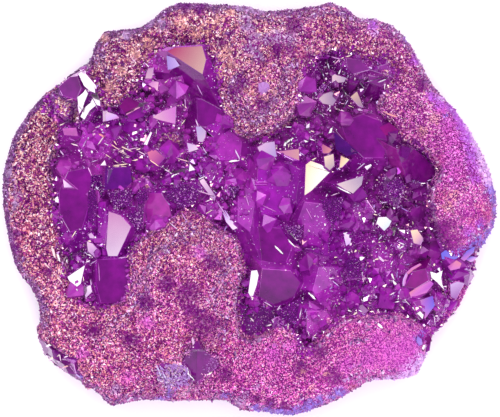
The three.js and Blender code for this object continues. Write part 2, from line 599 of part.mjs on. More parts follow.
function hollowCrystals() {
  const leadOutlines = LEAD_FACES.map((shape) => pairs(shape.at).map(onPlan));
  const bedTop = FLOOR_HEIGHT + BED_THICKNESS;
  const bed = loft([ringAt(hollow, FLOOR_HEIGHT), ringAt(hollow, bedTop)]);
  const leads = LEAD_FACES.map((shape) => leadCrystal(shape, FLOOR_HEIGHT));
  return joined([bed, ...leads, ...fillPoints(leadOutlines)]).intersect(cavity(CLEARANCE));
}

// ---------------------------------------------------------------- the object
// nothing reaches past the slab's edge as seen from above
const withinEdge = loft([ringAt(inset(edge, CLEARANCE), 0), ringAt(inset(edge, CLEARANCE), WALL_TOP)]);

function grownTogether(shapes, rootHeight, grow) {
  return joined(shapes.map((shape) => leadCrystal(shape, rootHeight, grow)));
}

const knobSocket = grownTogether(KNOB_FACES, KNOB_ROOT_HEIGHT, CLEARANCE);
const notchSocket = grownTogether(NOTCH_FACES, NOTCH_ROOT_HEIGHT, CLEARANCE);

const rock = [...MOUTHS.map(mouth), ringPit(), knobSocket, notchSocket]
  .reduce((whole, cut) => whole.subtract(cut), slab(0).subtract(cavity(0)));

const PIECES = [
  ['matrix', rock, ROCK],
  ['hollow_crystals', hollowCrystals(), GLASSY],
  ['knob_crystals', grownTogether(KNOB_FACES, KNOB_ROOT_HEIGHT, 0), GLASSY_KNOB],
  ['notch_crystals', grownTogether(NOTCH_FACES, NOTCH_ROOT_HEIGHT, 0).intersect(withinEdge), GLASSY_NOTCH],
];

const cluster = new THREE.Group();
for (const [name, solid, material] of PIECES) {
  const mesh = new THREE.Mesh(toGeometry(largestBody(solid)), material);
  mesh.name = name;
  cluster.add(mesh);
}

export default cluster;
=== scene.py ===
# %% [markdown]
# # Titanium aura quartz cluster
# A slab of rock skinned with sugar-fine quartz, called druse, round a hollow full of larger glassy points.
# The whole piece was coated with a film of metal a few hundred atoms thick, which turns clear quartz purple,
# pink and gold.
#
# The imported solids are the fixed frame: rock, the hollow's crust of crystals, and two small groups of
# crystals in sockets of the rock. Every piece below is grown on one of them, so it sits on what carries it
# from any side.

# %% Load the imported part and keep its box
import math

import bmesh
import bpy
import numpy as np
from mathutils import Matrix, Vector, noise
from mathutils.bvhtree import BVHTree


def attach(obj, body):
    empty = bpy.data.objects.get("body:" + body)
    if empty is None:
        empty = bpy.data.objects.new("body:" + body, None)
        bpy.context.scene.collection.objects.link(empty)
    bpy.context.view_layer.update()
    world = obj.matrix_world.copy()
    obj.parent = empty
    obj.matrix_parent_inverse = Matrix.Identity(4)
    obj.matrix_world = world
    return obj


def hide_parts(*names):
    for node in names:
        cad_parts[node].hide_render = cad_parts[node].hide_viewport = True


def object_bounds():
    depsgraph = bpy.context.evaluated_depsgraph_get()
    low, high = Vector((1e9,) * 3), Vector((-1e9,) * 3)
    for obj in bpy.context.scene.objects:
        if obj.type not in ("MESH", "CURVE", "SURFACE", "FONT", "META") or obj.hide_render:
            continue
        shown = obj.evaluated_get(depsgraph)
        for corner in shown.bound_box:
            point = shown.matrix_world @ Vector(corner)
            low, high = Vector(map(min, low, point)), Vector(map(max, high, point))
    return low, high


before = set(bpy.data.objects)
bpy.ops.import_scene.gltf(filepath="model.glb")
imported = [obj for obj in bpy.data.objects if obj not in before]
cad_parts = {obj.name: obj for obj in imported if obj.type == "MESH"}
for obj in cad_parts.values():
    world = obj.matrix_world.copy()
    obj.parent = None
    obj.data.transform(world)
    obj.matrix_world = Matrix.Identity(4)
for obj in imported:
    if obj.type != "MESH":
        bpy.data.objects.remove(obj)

CAD_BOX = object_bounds()
BOX_LOW, BOX_HIGH = np.array(CAD_BOX[0]), np.array(CAD_BOX[1])
MM = 0.001
print("nodes:", sorted(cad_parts), "size in mm:", np.round((BOX_HIGH - BOX_LOW) / MM, 1))

# %% [markdown]
# ## Places and colours
# Places on the slab are given on a plan drawing, a grid 500 wide and 417 high with y down, seen from
# straight above. Colours are given as 0 to 255 values, as a designer mixes them, and turned into the
# renderer's linear values.

# %% The plan drawing and the colour values
PLAN_WIDTH = 500
PLAN_HEIGHT = 417
SLAB_LENGTH = 120 * MM
PLAN_UNIT = SLAB_LENGTH / PLAN_WIDTH
DOWN = Vector((0, 0, -1))
ABOVE_ALL = 60 * MM


def on_plan(x, y):
    """A place on the slab, in metres, from a place on the plan."""
    return (x - PLAN_WIDTH / 2) * PLAN_UNIT, (PLAN_HEIGHT / 2 - y) * PLAN_UNIT


def mixed(red, green, blue):
    """A linear colour from 0 to 255 values."""
    value = np.array([red, green, blue]) / 255
    return np.where(value <= 0.04045, value / 12.92, ((value + 0.055) / 1.055) ** 2.4)


def palette(*colours):
    """Several linear colours in one array."""
    return np.array([mixed(*colour) for colour in colours])


print("one plan unit is", round(PLAN_UNIT / MM, 3), "mm")

# %% [markdown]
# ## Small tools for meshes
# Thousands of grains are cheap when numpy works out all their corners at once and one mesh holds them. A
# colour for each face is stored in the mesh, because on this stone neighbouring faces hardly ever share a
# colour.

# %% Meshes from arrays, with values for each face


def unit(vectors):
    """The same directions, each of length one."""
    return vectors / np.maximum(np.linalg.norm(vectors, axis=1), 1e-12)[:, None]


def coordinates(mesh, what="co"):
    """The places of a mesh's corners, or their directions."""
    values = np.empty(len(mesh.vertices) * 3)
    mesh.vertices.foreach_get(what, values)
    return values.reshape(-1, 3)


pieces = []


def on_the_slab(name, mesh, node=None):
    """A mesh as a piece of the object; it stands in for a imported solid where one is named."""
    piece = bpy.data.objects.new(name, mesh)
    bpy.context.scene.collection.objects.link(piece)
    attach(piece, "root")
    if node is not None:
        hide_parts(node)
    pieces.append(piece)
    print(f"{name}: {len(mesh.polygons)} faces")
    return piece


def piece_from(name, slot, corners, faces, tints, finish=None):
    """A piece from arrays, with a colour for each face and a number for its finish, kept inside the box."""
    mesh = bpy.data.meshes.new(name)
    mesh.from_pydata(np.clip(corners, BOX_LOW, BOX_HIGH).tolist(), [], faces)
    tint = mesh.attributes.new("tint", "FLOAT_COLOR", "FACE")
    tint.data.foreach_set("color", np.hstack([tints, np.ones((len(tints), 1))]).astype(np.float32).ravel())
    if finish is not None:
        mesh.materials.append(None)
        mesh.materials.append(None)
        mesh.polygons.foreach_set("material_index", finish.astype(np.int32))
    return on_the_slab(name, mesh)


def side_axes(axes):
    """Two directions square to each axis and to each other."""
    helper = np.where(np.abs(axes[:, 2:3]) < 0.9, [[0.0, 0.0, 1.0]], [[1.0, 0.0, 0.0]])
    first = unit(np.cross(axes, helper))
    return first, np.cross(axes, first)


def leaned(normals, spread, rng):
    """Directions that stray from the given ones."""
    return unit(normals + spread * (2 * rng.random((len(normals), 3)) - 1))


def cloud(places, wavelength):
    """Smooth noise from -1 to 1 at each place."""
    return np.array([noise.noise(Vector(place)) for place in places / wavelength])


print("smooth noise at three places:", cloud(np.eye(3), 3.7).round(2))

# %% [markdown]
# ## Scattering
# Real grains touch but hardly overlap. Places drawn at random lie in clumps, so far too many are drawn and
# at most one is kept in each small cube of space: quick, and nearly even.

# %% Even scattering over a mesh
TRIES = 2.2  # places drawn for each square of the spacing


def scattered(mesh, spacing, rng):
    """Places on a mesh, at most one in each cube of the spacing, with the surface's direction there."""
    mesh.calc_loop_triangles()
    corners = np.empty(len(mesh.loop_triangles) * 3, np.int32)
    mesh.loop_triangles.foreach_get("vertices", corners)
    triangles = coordinates(mesh)[corners.reshape(-1, 3)]
    crossed = np.cross(triangles[:, 1] - triangles[:, 0], triangles[:, 2] - triangles[:, 0])
    areas = np.linalg.norm(crossed, axis=1) / 2
    count = int(areas.sum() / spacing**2 * TRIES)
    picked = rng.choice(len(areas), count, p=areas / areas.sum())
    along, across = rng.random((2, count, 1))
    folded = along + across > 1
    along, across = np.where(folded, 1 - along, along), np.where(folded, 1 - across, across)
    corner = triangles[picked]
    places = corner[:, 0] + along * (corner[:, 1] - corner[:, 0])
    places += across * (corner[:, 2] - corner[:, 0])
    _, kept = np.unique(np.floor(places / spacing).astype(np.int64), axis=0, return_index=True)
    kept.sort()
    return places[kept], unit(crossed[picked][kept])


def nearness(places, spots, steepness=2):
    """From 0 far from every spot to 1 at the middle of one; a spot is x, y and reach on the plan."""
    share = np.zeros(len(places))
    for x, y, reach in spots:
        middle = np.array(on_plan(x, y))
        away = np.linalg.norm(places[:, :2] - middle, axis=1) / (reach * PLAN_UNIT)
        share = np.maximum(share, np.exp(-(away**steepness)))
    return share


two_places = np.array([[*on_plan(100, 100), 0], [*on_plan(110, 100), 0]])
print("nearness at a spot's middle and one reach away:", nearness(two_places, [(100, 100, 10)]).round(2))

# %% [markdown]
# ## The rock
# Under its skin the rock is lumpy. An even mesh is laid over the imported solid, and layers of noise push it
# in a little. Beside the hollow it is let out again, so that its skin closes on the crystals, as it does in
# the stone.

# %% An even, lumpy copy of the rock
ROCK_STEP = 0.72 * MM
GRAIN_ROOM = 0.26 * MM  # the skin of grains fills the solid out to its surface
LUMPS = [(6.0, 0.26), (2.4, 0.20), (1.2, 0.12)]  # wavelength and height in mm
BACK_HEIGHT = 0.4 * MM
CLOSE_TO_CRUST = 1.5 * MM
LIP_GROWTH = 0.42 * MM
MOST_OUTWARD = 0.1 * MM
NEARLY_LEVEL = 0.8


def tree_of(*meshes):
    """One tree of the triangles of one or more meshes."""
    corners, triangles = [], []
    for mesh in meshes:
        mesh.calc_loop_triangles()
        start = len(corners)
        triangles += [tuple(start + corner for corner in each.vertices) for each in mesh.loop_triangles]
        corners += coordinates(mesh).tolist()
    return BVHTree.FromPolygons(corners, triangles)


def distances(tree, places, most):
    """How far each place is from a tree, up to a limit."""
    found = [tree.find_nearest(Vector(place), most)[3] for place in places]
    return np.array([most if distance is None else distance for distance in found])


CRYSTAL_NODES = ("hollow_crystals", "knob_crystals", "notch_crystals")
crust_tree = tree_of(*(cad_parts[node].data for node in CRYSTAL_NODES))


def even_copy(node, step):
    """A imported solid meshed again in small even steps."""
    draft = bpy.data.objects.new("draft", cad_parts[node].data.copy())
    bpy.context.scene.collection.objects.link(draft)
    remesh = draft.modifiers.new("even", "REMESH")
    remesh.mode = "VOXEL"
    remesh.voxel_size = step
    mesh = bpy.data.meshes.new_from_object(draft.evaluated_get(bpy.context.evaluated_depsgraph_get()))
    bpy.data.objects.remove(draft)
    return mesh


rock_mesh = even_copy("matrix", ROCK_STEP)
places, normals = coordinates(rock_mesh), coordinates(rock_mesh, "normal")
push = sum(height * MM * cloud(places, wavelength * MM) for wavelength, height in LUMPS) - GRAIN_ROOM
push = np.minimum(push, MOST_OUTWARD)
beside_crust = distances(crust_tree, places, CLOSE_TO_CRUST) < CLOSE_TO_CRUST
push[beside_crust & (normals[:, 2] < NEARLY_LEVEL)] = LIP_GROWTH
push[places[:, 2] < BACK_HEIGHT] = 0
places = np.clip(places + normals * push[:, None], BOX_LOW, BOX_HIGH)
rock_mesh.vertices.foreach_set("co", places.ravel())
rock_mesh.update()
rock = on_the_slab("lumpy_rock", rock_mesh, "matrix")

# %% [markdown]
# ## The druse
# Druse is a skin of quartz points well under a millimetre across, side by side. It is laid in two layers: a
# bed of small dark roofs that fills every gap, and over it longer, brighter grains that lie like rice, each
# with a lean and a colour of its own. The film drifts over the slab, from gold and rose in the upper left to
# pink in the lower right.

# %% Colours of the druse, dark to bright, and its patches
GOLD_SIDE = palette(
    (72, 6, 74), (124, 42, 94), (178, 98, 120), (210, 148, 144), (246, 212, 186), (255, 246, 234),
)
PINK_SIDE = palette(
    (106, 12, 114), (170, 48, 156), (211, 101, 195), (234, 144, 215), (250, 186, 236), (255, 244, 254),
)
PATCHES = {  # colour and strength, then x, y and reach of its spots
    "plum": (mixed(110, 12, 118), 0.86, [
        (186, 9, 6), (200, 12, 6), (193, 45, 5), (293, 28, 10), (277, 52, 7), (291, 53, 6), (242, 85, 8),
        (236, 94, 7), (262, 106, 7), (120, 51, 5), (222, 45, 5), (232, 36, 4), (20, 235, 6), (18, 247, 7),
        (39, 238, 3), (49, 244, 3), (47, 297, 3), (51, 272, 4), (190, 292, 13), (206, 322, 14),
        (194, 308, 10), (168, 282, 9), (212, 262, 8), (270, 401, 6), (285, 404, 5), (257, 396, 5),
        (300, 366, 8), (332, 374, 9), (318, 350, 8), (408, 210, 8), (440, 230, 12), (450, 240, 10),
        (428, 212, 7), (150, 300, 9), (96, 330, 8), (132, 338, 9), (225, 372, 8), (427, 340, 5),
        (430, 334, 4), (420, 84, 7), (390, 36, 5), (350, 30, 7), (308, 60, 8), (56, 165, 7),
    ]),
    "red": (mixed(206, 84, 130), 0.5, [
        (28, 228, 5), (14, 200, 4), (23, 242, 4), (484, 214, 7), (478, 208, 6), (352, 384, 4), (472, 222, 6),
        (250, 34, 4), (300, 54, 6), (205, 400, 4), (440, 196, 7), (440, 160, 6),
    ]),
    "ash": (mixed(180, 148, 190), 0.95, [
        (247, 21, 6), (249, 30, 7), (252, 41, 7), (252, 51, 8), (257, 60, 6), (266, 43, 6), (277, 40, 7),
        (289, 42, 7), (240, 9, 4), (251, 10, 4), (262, 12, 4), (128, 38, 5), (163, 26, 6), (152, 24, 4),
        (20, 195, 5), (17, 204, 4), (46, 228, 3), (11, 172, 5), (86, 66, 5), (117, 387, 6), (246, 392, 5),
        (240, 400, 5), (256, 384, 3),
    ]),
    "magenta": (mixed(228, 112, 216), 0.7, [
        (445, 126, 10), (448, 140, 12), (451, 156, 12), (450, 172, 10), (440, 112, 8), (388, 350, 13),
        (405, 345, 13), (420, 340, 9), (368, 356, 11), (346, 362, 9), (400, 362, 10), (376, 338, 8),
        (272, 352, 10), (290, 346, 7), (60, 120, 6), (130, 375, 8), (84, 352, 7), (200, 252, 7),
        (150, 320, 8),
    ]),
    "violet": (mixed(190, 100, 220), 0.8, [
        (430, 98, 6), (438, 104, 7), (450, 108, 6), (456, 117, 7), (461, 127, 8), (464, 137, 8),
        (467, 148, 8), (469, 159, 8), (471, 169, 7), (472, 178, 6), (300, 340, 4), (478, 222, 5),
        (466, 232, 6), (412, 62, 5), (372, 28, 5), (436, 322, 5),
    ]),
    "lavender": (mixed(228, 190, 242), 1.0, [
        (463, 115, 5), (468, 123, 6), (473, 132, 7), (477, 141, 8), (480, 150, 8), (482, 160, 8),
        (484, 170, 8), (486, 180, 7), (440, 100, 3), (436, 70, 5), (448, 84, 5), (456, 98, 5), (422, 62, 4),
        (374, 35, 4), (375, 381, 5), (390, 379, 6), (404, 375, 7), (413, 368, 10), (421, 360, 9),
        (426, 354, 5), (408, 374, 8), (450, 306, 6),
    ]),
    "blue": (mixed(150, 124, 214), 0.95, [
        (443, 256, 6), (452, 255, 6), (462, 251, 6), (470, 245, 6), (477, 240, 5), (489, 190, 6),
        (492, 200, 5), (494, 212, 5), (493, 224, 5), (489, 234, 5), (483, 243, 5), (480, 226, 3),
        (466, 236, 3), (443, 118, 3), (417, 340, 5), (421, 334, 4), (257, 407, 5), (268, 409, 5),
        (280, 411, 6), (292, 411, 6), (302, 408, 6), (311, 403, 6), (319, 399, 5), (330, 394, 4),
        (340, 390, 6), (170, 392, 5), (160, 398, 4), (225, 394, 4), (74, 372, 5), (80, 378, 4), (408, 40, 4),
    ]),
    "pit": (mixed(206, 144, 212), 1.0, [(263.5, 90.5, 6)]),
    "gold": (mixed(242, 188, 166), 0.6, [
        (255, 79, 3), (271, 82, 3), (273, 93, 3), (264, 99, 3), (254, 96, 3), (263, 77, 3), (230, 16, 4),
        (208, 30, 7), (182, 24, 7), (198, 34, 6), (218, 22, 5), (150, 44, 7), (136, 56, 6), (106, 40, 5),
        (226, 56, 6), (232, 66, 5), (222, 74, 5), (122, 72, 6), (112, 88, 6), (78, 118, 5), (310, 386, 4),
        (300, 372, 3), (326, 372, 3), (16, 196, 3), (26, 60, 6), (432, 120, 5), (420, 132, 6), (452, 196, 6),
        (446, 206, 6),
    ]),
}
SMOOTH_PATCHES = ("ash", "lavender", "blue", "pit")
SMOOTH_SPOTS = [spot for name in SMOOTH_PATCHES for spot in PATCHES[name][2]]
PINK_CORNER = np.array([0.8, -0.6])
PATCH_EDGE = 4
PATCH_DENSITY, PATCH_RANGE = 0.65, 0.5
PATCH_DARKEST, PATCH_CONTRAST = 0.72, 0.56
STRAYS = (0.7 * MM, 2.2 * MM, 0.9 * MM)  # how far a patch's outline strays, and the wavelengths of its way
CORNER_SLOPE = 1.1
RIM_START, RIM_BLEND, RIM_PALING, RIM_WAVE = 0.78, 0.3, 0.65, 3 * MM
RIM_GOLD, RIM_PINK = mixed(122, 74, 130), mixed(188, 104, 190)


def along_ramp(ramp, share):
    """Colours at shares from 0 to 1 of a row of colours."""
    steps = np.clip(share, 0, 1).ravel() * (len(ramp) - 1)
    lower = np.minimum(steps.astype(int), len(ramp) - 2)
    part = (steps - lower)[:, None]
    return ramp[lower] * (1 - part) + ramp[lower + 1] * part


def towards_pink(places):
    """From 0 in the golden upper left to 1 in the pink lower right."""
    return np.clip(0.5 + places[:, :2] @ PINK_CORNER / SLAB_LENGTH * CORNER_SLOPE, 0, 1)


def strayed(places):
    """The places moved about smoothly, so that a patch found with them has a ragged outline."""
    moved = places.copy()
    reach, long, short = STRAYS
    for axis in (0, 1):
        moved[:, axis] += reach * (cloud(places + axis * SLAB_LENGTH, long) + cloud(places - axis, short))
    return moved


def patched(places, tints, share, sides, rng):
    """The colours with each patch's own laid over them, more over one grain than over another."""
    moved = strayed(places)
    for colour, strength, spots in PATCHES.values():
        density = PATCH_DENSITY + PATCH_RANGE * rng.random(len(places))
        near = nearness(moved, spots, PATCH_EDGE) * strength * density
        near = np.repeat(np.clip(near, 0, 1), sides)[:, None]
        tints = tints * (1 - near) + colour * (PATCH_DARKEST + PATCH_CONTRAST * share) * near
    return tints


def rim_share(places, normals):
    """From 0 on top to 1 where the skin has rolled over the edge; the pink corner's rim stays pale."""
    rolled = np.clip((RIM_START - normals[:, 2]) / RIM_BLEND, 0, 1)
    return rolled * (1 - RIM_PALING * towards_pink(places)) * (0.9 + 0.4 * cloud(places, RIM_WAVE))


print("patches:", {name: len(spots) for name, (_, _, spots) in PATCHES.items()})

# %% [markdown]
# ## Colour, face by face
# A grain is a tiny prism, and each of its faces shows another step of the film: one nearly black, the next
# gold. So a face's colour is drawn at random from the row of colours, more widely in the golden corner than
# in the fine pink druse, and only then mixed towards the patch or the rim that it lies in.

# %% A colour for every face of every grain
GRAIN_RANGE, FACE_RANGE, DRIFT_RANGE = 0.6, 0.66, 0.13  # between grains, within one, and from place to place
GRAIN_GLINTS, GLINT_LIFT = 0.09, 0.4
LIVELY_CORNER, CALM_CORNER = 1.42, 0.74  # contrast in the golden corner, and what the pink one loses of it
SOFT_DRUSE = [(398, 352, 34), (370, 354, 22), (420, 346, 20)]  # where the druse is finest and most even
SOFTENED, SOFT_LIFT = 0.75, 0.07
HUE_DRIFT, HUE_WAVE, GRAIN_HUES, GOLD_LEAN = 0.25, 14 * MM, 0.9, 0.1
DRIFTS = [(5 * MM, 1.0), (1.8 * MM, 0.6)]  # wavelength and height of light and dark over the druse
GOLD_WAVE, GOLD_DRIFT = 0.8 * MM, 0.9  # a finer drift in the golden corner alone
BLUSH = np.array([0.2, 0.02, 0.09])  # warmth added towards the front of the slab
BLUSH_START, BLUSH_LENGTH = 0.35, 60 * MM


def druse_tints(places, normals, middle, sides, rng):
    """A place along the druse's colours for each face, then the rim and the patch that it lies in."""
    count = len(places)
    corner = towards_pink(places)
    soft = nearness(places, SOFT_DRUSE)
    lively = ((LIVELY_CORNER - CALM_CORNER * corner) * (1 - SOFTENED * soft))[:, None]
    grain, face = rng.random((count, 1)), rng.random((count, sides))
    drift = sum(height * cloud(places, wave) for wave, height in DRIFTS)[:, None]
    drift += GOLD_DRIFT * ((1 - corner) * cloud(places, GOLD_WAVE))[:, None]
    share = GRAIN_RANGE * (grain - 0.5) + FACE_RANGE * (face - 0.5) + DRIFT_RANGE * drift
    glint = GLINT_LIFT * (rng.random((count, 1)) < GRAIN_GLINTS)
    share = np.clip(middle + SOFT_LIFT * soft[:, None] + lively * (share + glint), 0, 1).reshape(-1, 1)
    pink = corner - GOLD_LEAN + HUE_DRIFT * cloud(places, HUE_WAVE) + GRAIN_HUES * (rng.random(count) - 0.5)
    pink = np.repeat(np.clip(pink, 0, 1), sides)[:, None]
    tints = along_ramp(GOLD_SIDE, share) * (1 - pink) + along_ramp(PINK_SIDE, share) * pink
    blush = (1 - soft) * np.clip(BLUSH_START - places[:, 1] / BLUSH_LENGTH, 0, 1)
    tints = tints * (1 + np.repeat(blush, sides)[:, None] * BLUSH)
    rim = np.repeat(np.clip(rim_share(places, normals), 0, 1), sides)[:, None]
    tints = tints * (1 - rim) + (RIM_GOLD * (1 - pink) + RIM_PINK * pink) * (0.4 + 1.2 * share) * rim
    return np.clip(patched(places, tints, share, sides, rng), 0, 1)


print("colours from dark to bright:", len(GOLD_SIDE), "on the golden side and", len(PINK_SIDE), "on the pink")

# %% [markdown]
# ## The two layers of the skin
# Each grain is a low roof, a ring of feet and one tip. Paint with bumps would be lighter, but only real
# corners make the slab's outline rough and glint from every side. Both layers come from one function with
# other numbers, and each is cut in a left and a right half, so that no piece grows too large.

# %% The two layers of grains
LONG_GOLD = 0.4  # how much longer than wide the grains of the golden corner grow
SKIN_BOTTOM = 0.9 * MM
SPACINGS = {"bed": 0.54 * MM, "rice": 0.37 * MM}
LAYERS = {  # reach and lift in mm; middle is the place on the colours, which rises towards the pink corner
    "bed": dict(reach=0.34, lift=-0.04, sides=4, stretch=1.2, lean=0.5, middle=0.25, rise=0.11),
    "rice": dict(reach=0.19, lift=0.08, sides=3, stretch=1.35, lean=0.5, middle=0.47, rise=0.13),
}
rng = np.random.default_rng(20)


def roofs(places, axes, reach, heights, stretch, sides, rng):
    """Corners and faces of many low pyramids with uneven sides, longer one way by the stretch."""
    count = len(places)
    first, second = side_axes(axes)
    roll = 2 * math.pi * rng.random((count, 1))
    angles = 2 * math.pi * (np.arange(sides) + 0.35 * (rng.random((count, sides)) - 0.5)) / sides
    reach = reach[:, None] * (0.8 + 0.4 * rng.random((count, sides)))
    long, short = reach * np.cos(angles) * stretch, reach * np.sin(angles) / stretch
    u = (long * np.cos(roll) - short * np.sin(roll))[:, :, None]
    v = (long * np.sin(roll) + short * np.cos(roll))[:, :, None]
    feet = places[:, None] + u * first[:, None] + v * second[:, None]
    shift = 0.3 * reach.mean(axis=1)[:, None] * (2 * rng.random((count, 2)) - 1)
    tips = places + axes * heights[:, None] + shift[:, :1] * first + shift[:, 1:] * second
    corners = np.concatenate([feet, tips[:, None]], axis=1).reshape(-1, 3)
    start = (np.arange(count) * (sides + 1))[:, None]
    ring = np.arange(sides)
    tip = np.broadcast_to(start + sides, (count, sides))
    faces = np.stack([start + ring, start + (ring + 1) % sides, tip], 2)
    return corners, faces.reshape(-1, 3).tolist()


def in_the_open(places):
    """Whether nothing of the crust of crystals stands over each place."""
    return np.array([crust_tree.ray_cast(Vector(place), -DOWN)[0] is None for place in places])


def grains(name, layer, places, normals, rng):
    """One layer of grains at some places, as a piece of its own; they are longest in the golden corner."""
    gold = 1 - towards_pink(places)
    reach = layer["reach"] * MM * (0.7 + 0.6 * rng.random(len(places))) * (0.85 + 0.45 * gold)
    heights = reach * (0.5 + 0.6 * rng.random(len(places)))
    axes = leaned(normals, layer["lean"] * (0.55 + 0.45 * gold[:, None]), rng)
    roots, stretch = places + normals * layer["lift"] * MM, layer["stretch"] + LONG_GOLD * gold[:, None]
    corners, faces = roofs(roots, axes, reach, heights, stretch, layer["sides"], rng)
    middle = (layer["middle"] + layer["rise"] * (1 - gold))[:, None]
    tints = druse_tints(places, normals, middle, layer["sides"], rng)
    piece_from(name, "drusy_rock", corners, faces, tints)


for kind, layer in LAYERS.items():
    places, normals = scattered(rock_mesh, SPACINGS[kind], rng)
    shown = (places[:, 2] > SKIN_BOTTOM) & in_the_open(places)
    if kind == "rice":  # the smooth patches and the golden corner have fewer of them
        shown &= nearness(places, SMOOTH_SPOTS, 4) < 0.2 + 0.9 * rng.random(len(places))
        shown &= rng.random(len(places)) < 0.66 + 0.34 * towards_pink(places)
    places, normals = places[shown], normals[shown]
    for side, inside in (("left", places[:, 0] < 0), ("right", places[:, 0] >= 0)):
        grains(f"druse_{kind}_{side}", layer, places[inside], normals[inside], rng)

# %% [markdown]
# ## Crumbs along the rim
# Where the skin rolls over to the broken edge, the grains give way to coarser crumbs of grey and lavender
# quartz. They make the slab's outline rough. Their palest colour is a painted highlight on a dull finish.

# %% Coarser crumbs on the slab's edge
CRUMB_SPACING = 1.0 * MM
CRUMB_REACH = 0.54 * MM
CRUMB_SIDES = 5
CRUMB_SINK = 0.2 * MM
CRUMB_BOTTOM = 1.5 * MM
STEEP = 0.74
OFF_THE_CRUST, SEARCH = 2.5 * MM, 4 * MM
# the palest entry is a painted highlight; the others are the crumbs' own greys and lavenders
CRUMB_AND_HIGHLIGHT_COLOURS = palette(
    (88, 40, 104), (128, 76, 140), (186, 140, 196), (108, 28, 118), (142, 112, 150), (96, 44, 108),
    (134, 88, 146), (226, 210, 232),
)
places, normals = scattered(rock_mesh, CRUMB_SPACING, rng)
far_from_crust = distances(crust_tree, places, SEARCH) > OFF_THE_CRUST
on_edge = (np.abs(normals[:, 2]) < STEEP) & (places[:, 2] > CRUMB_BOTTOM) & far_from_crust
places, normals = places[on_edge], normals[on_edge]
reach = CRUMB_REACH * (0.6 + 0.8 * rng.random(len(places)))
roots = places - normals * CRUMB_SINK
corners, faces = roofs(roots, leaned(normals, 0.5, rng), reach, reach * 1.2, 1.2, CRUMB_SIDES, rng)
tints = CRUMB_AND_HIGHLIGHT_COLOURS[rng.integers(len(CRUMB_AND_HIGHLIGHT_COLOURS), size=len(faces))]
tints = patched(places, tints, rng.random((len(faces), 1)), CRUMB_SIDES, rng)
piece_from("rim_crumbs", "drusy_rock", corners, faces, tints)

# %% [markdown]
# ## One broad crystal, end on
# In the druse of the middle lobe one crystal grew broad and blunt. Seen along its axis it is a pale round
# spot. A single low roof with many sides is enough for it; the ring of gold around it is one of the patches
# above.

# %% One broad lilac crystal, end on, in a ring of gold
DISC_SIDES = 14
DISC_COLOUR = mixed(156, 112, 170)
DISC_REACH, DISC_HEIGHT, DISC_LIFT = 1.45 * MM, 0.16 * MM, 0.75 * MM
rock_tree = tree_of(rock_mesh)
disc_foot = np.array([rock_tree.ray_cast(Vector((*on_plan(263.5, 90.5), ABOVE_ALL)), DOWN)[0]])
disc_foot += [0, 0, DISC_LIFT]
disc_axis, disc_size = np.array([[0.05, 0.1, 1.0]]), (np.array([DISC_REACH]), np.array([DISC_HEIGHT]))
corners, faces = roofs(disc_foot, disc_axis, *disc_size, 1.0, DISC_SIDES, rng)
tints = DISC_COLOUR * (0.8 + 0.4 * rng.random((DISC_SIDES, 1)))
piece_from("lilac_disc", "drusy_rock", corners, faces, tints)

# %% [markdown]
# ## The lamps, before the colours
# A face with a strong film is a mirror, so what it shows is its film's tint times the lamp that it mirrors.
# The lamps are settled first, and the tint is worked out from the colour that the face is to show under its
# lamp.

# %% The lamps that faces mirror
LAMPS = {  # azimuth, elevation, radiance, colour
    "key": (115, 50, 2.6, (1.0, 0.98, 1.0)),
    "warm": (50, 56, 1.7, (1.0, 0.92, 0.84)),
    "lilac": (238, 54, 1.7, (0.92, 0.88, 1.0)),
}
LAMP_DISTANCE = 0.5
LENS, SENSOR = 200, 36  # the camera's, in mm; far off and narrow, so that the slab hardly tapers
RIM_LEVEL = 11 * MM
EYE = np.array([0, 0, RIM_LEVEL + SLAB_LENGTH * LENS / SENSOR])
FILM_METAL = 0.8
MIRROR_REACH = math.cos(math.radians(7.5))  # a lamp spans about 15 degrees on either side, a mirror halves it


def direction_of(azimuth, elevation):
    """The way to a lamp."""
    azimuth, elevation = math.radians(azimuth), math.radians(elevation)
    level = math.cos(elevation)
    return np.array([math.cos(azimuth) * level, math.sin(azimuth) * level, math.sin(elevation)])


def film_for(shown, lamp):
    """The film's tint that shows a colour where it mirrors a lamp."""
    radiance, colour = LAMPS[lamp][2:]
    return np.minimum(mixed(*shown) / (FILM_METAL * radiance * np.array(colour) + 1 - FILM_METAL), 1)


def halfway(lamp, place):
    """The direction of a face at a place that mirrors a lamp into the camera."""
    towards = unit(np.array([direction_of(*LAMPS[lamp][:2]) * LAMP_DISTANCE - place, EYE - place]))
    return unit(towards.sum(axis=0)[None])[0]


def mirroring(middles, normals):
    """Whether each face, by its middle and direction, mirrors some lamp into the camera."""
    towards_eye = unit(EYE - middles)
    found = np.zeros(len(middles), bool)
    for azimuth, elevation, _, _ in LAMPS.values():
        towards_lamp = unit(direction_of(azimuth, elevation) * LAMP_DISTANCE - middles)
        found |= (normals * unit(towards_lamp + towards_eye)).sum(axis=1) > MIRROR_REACH
    return found


for name in LAMPS:
    lean = math.degrees(math.acos(halfway(name, np.zeros(3))[2]))
    print(f"a face mirrors the {name} lamp when it leans {lean:.0f} degrees")
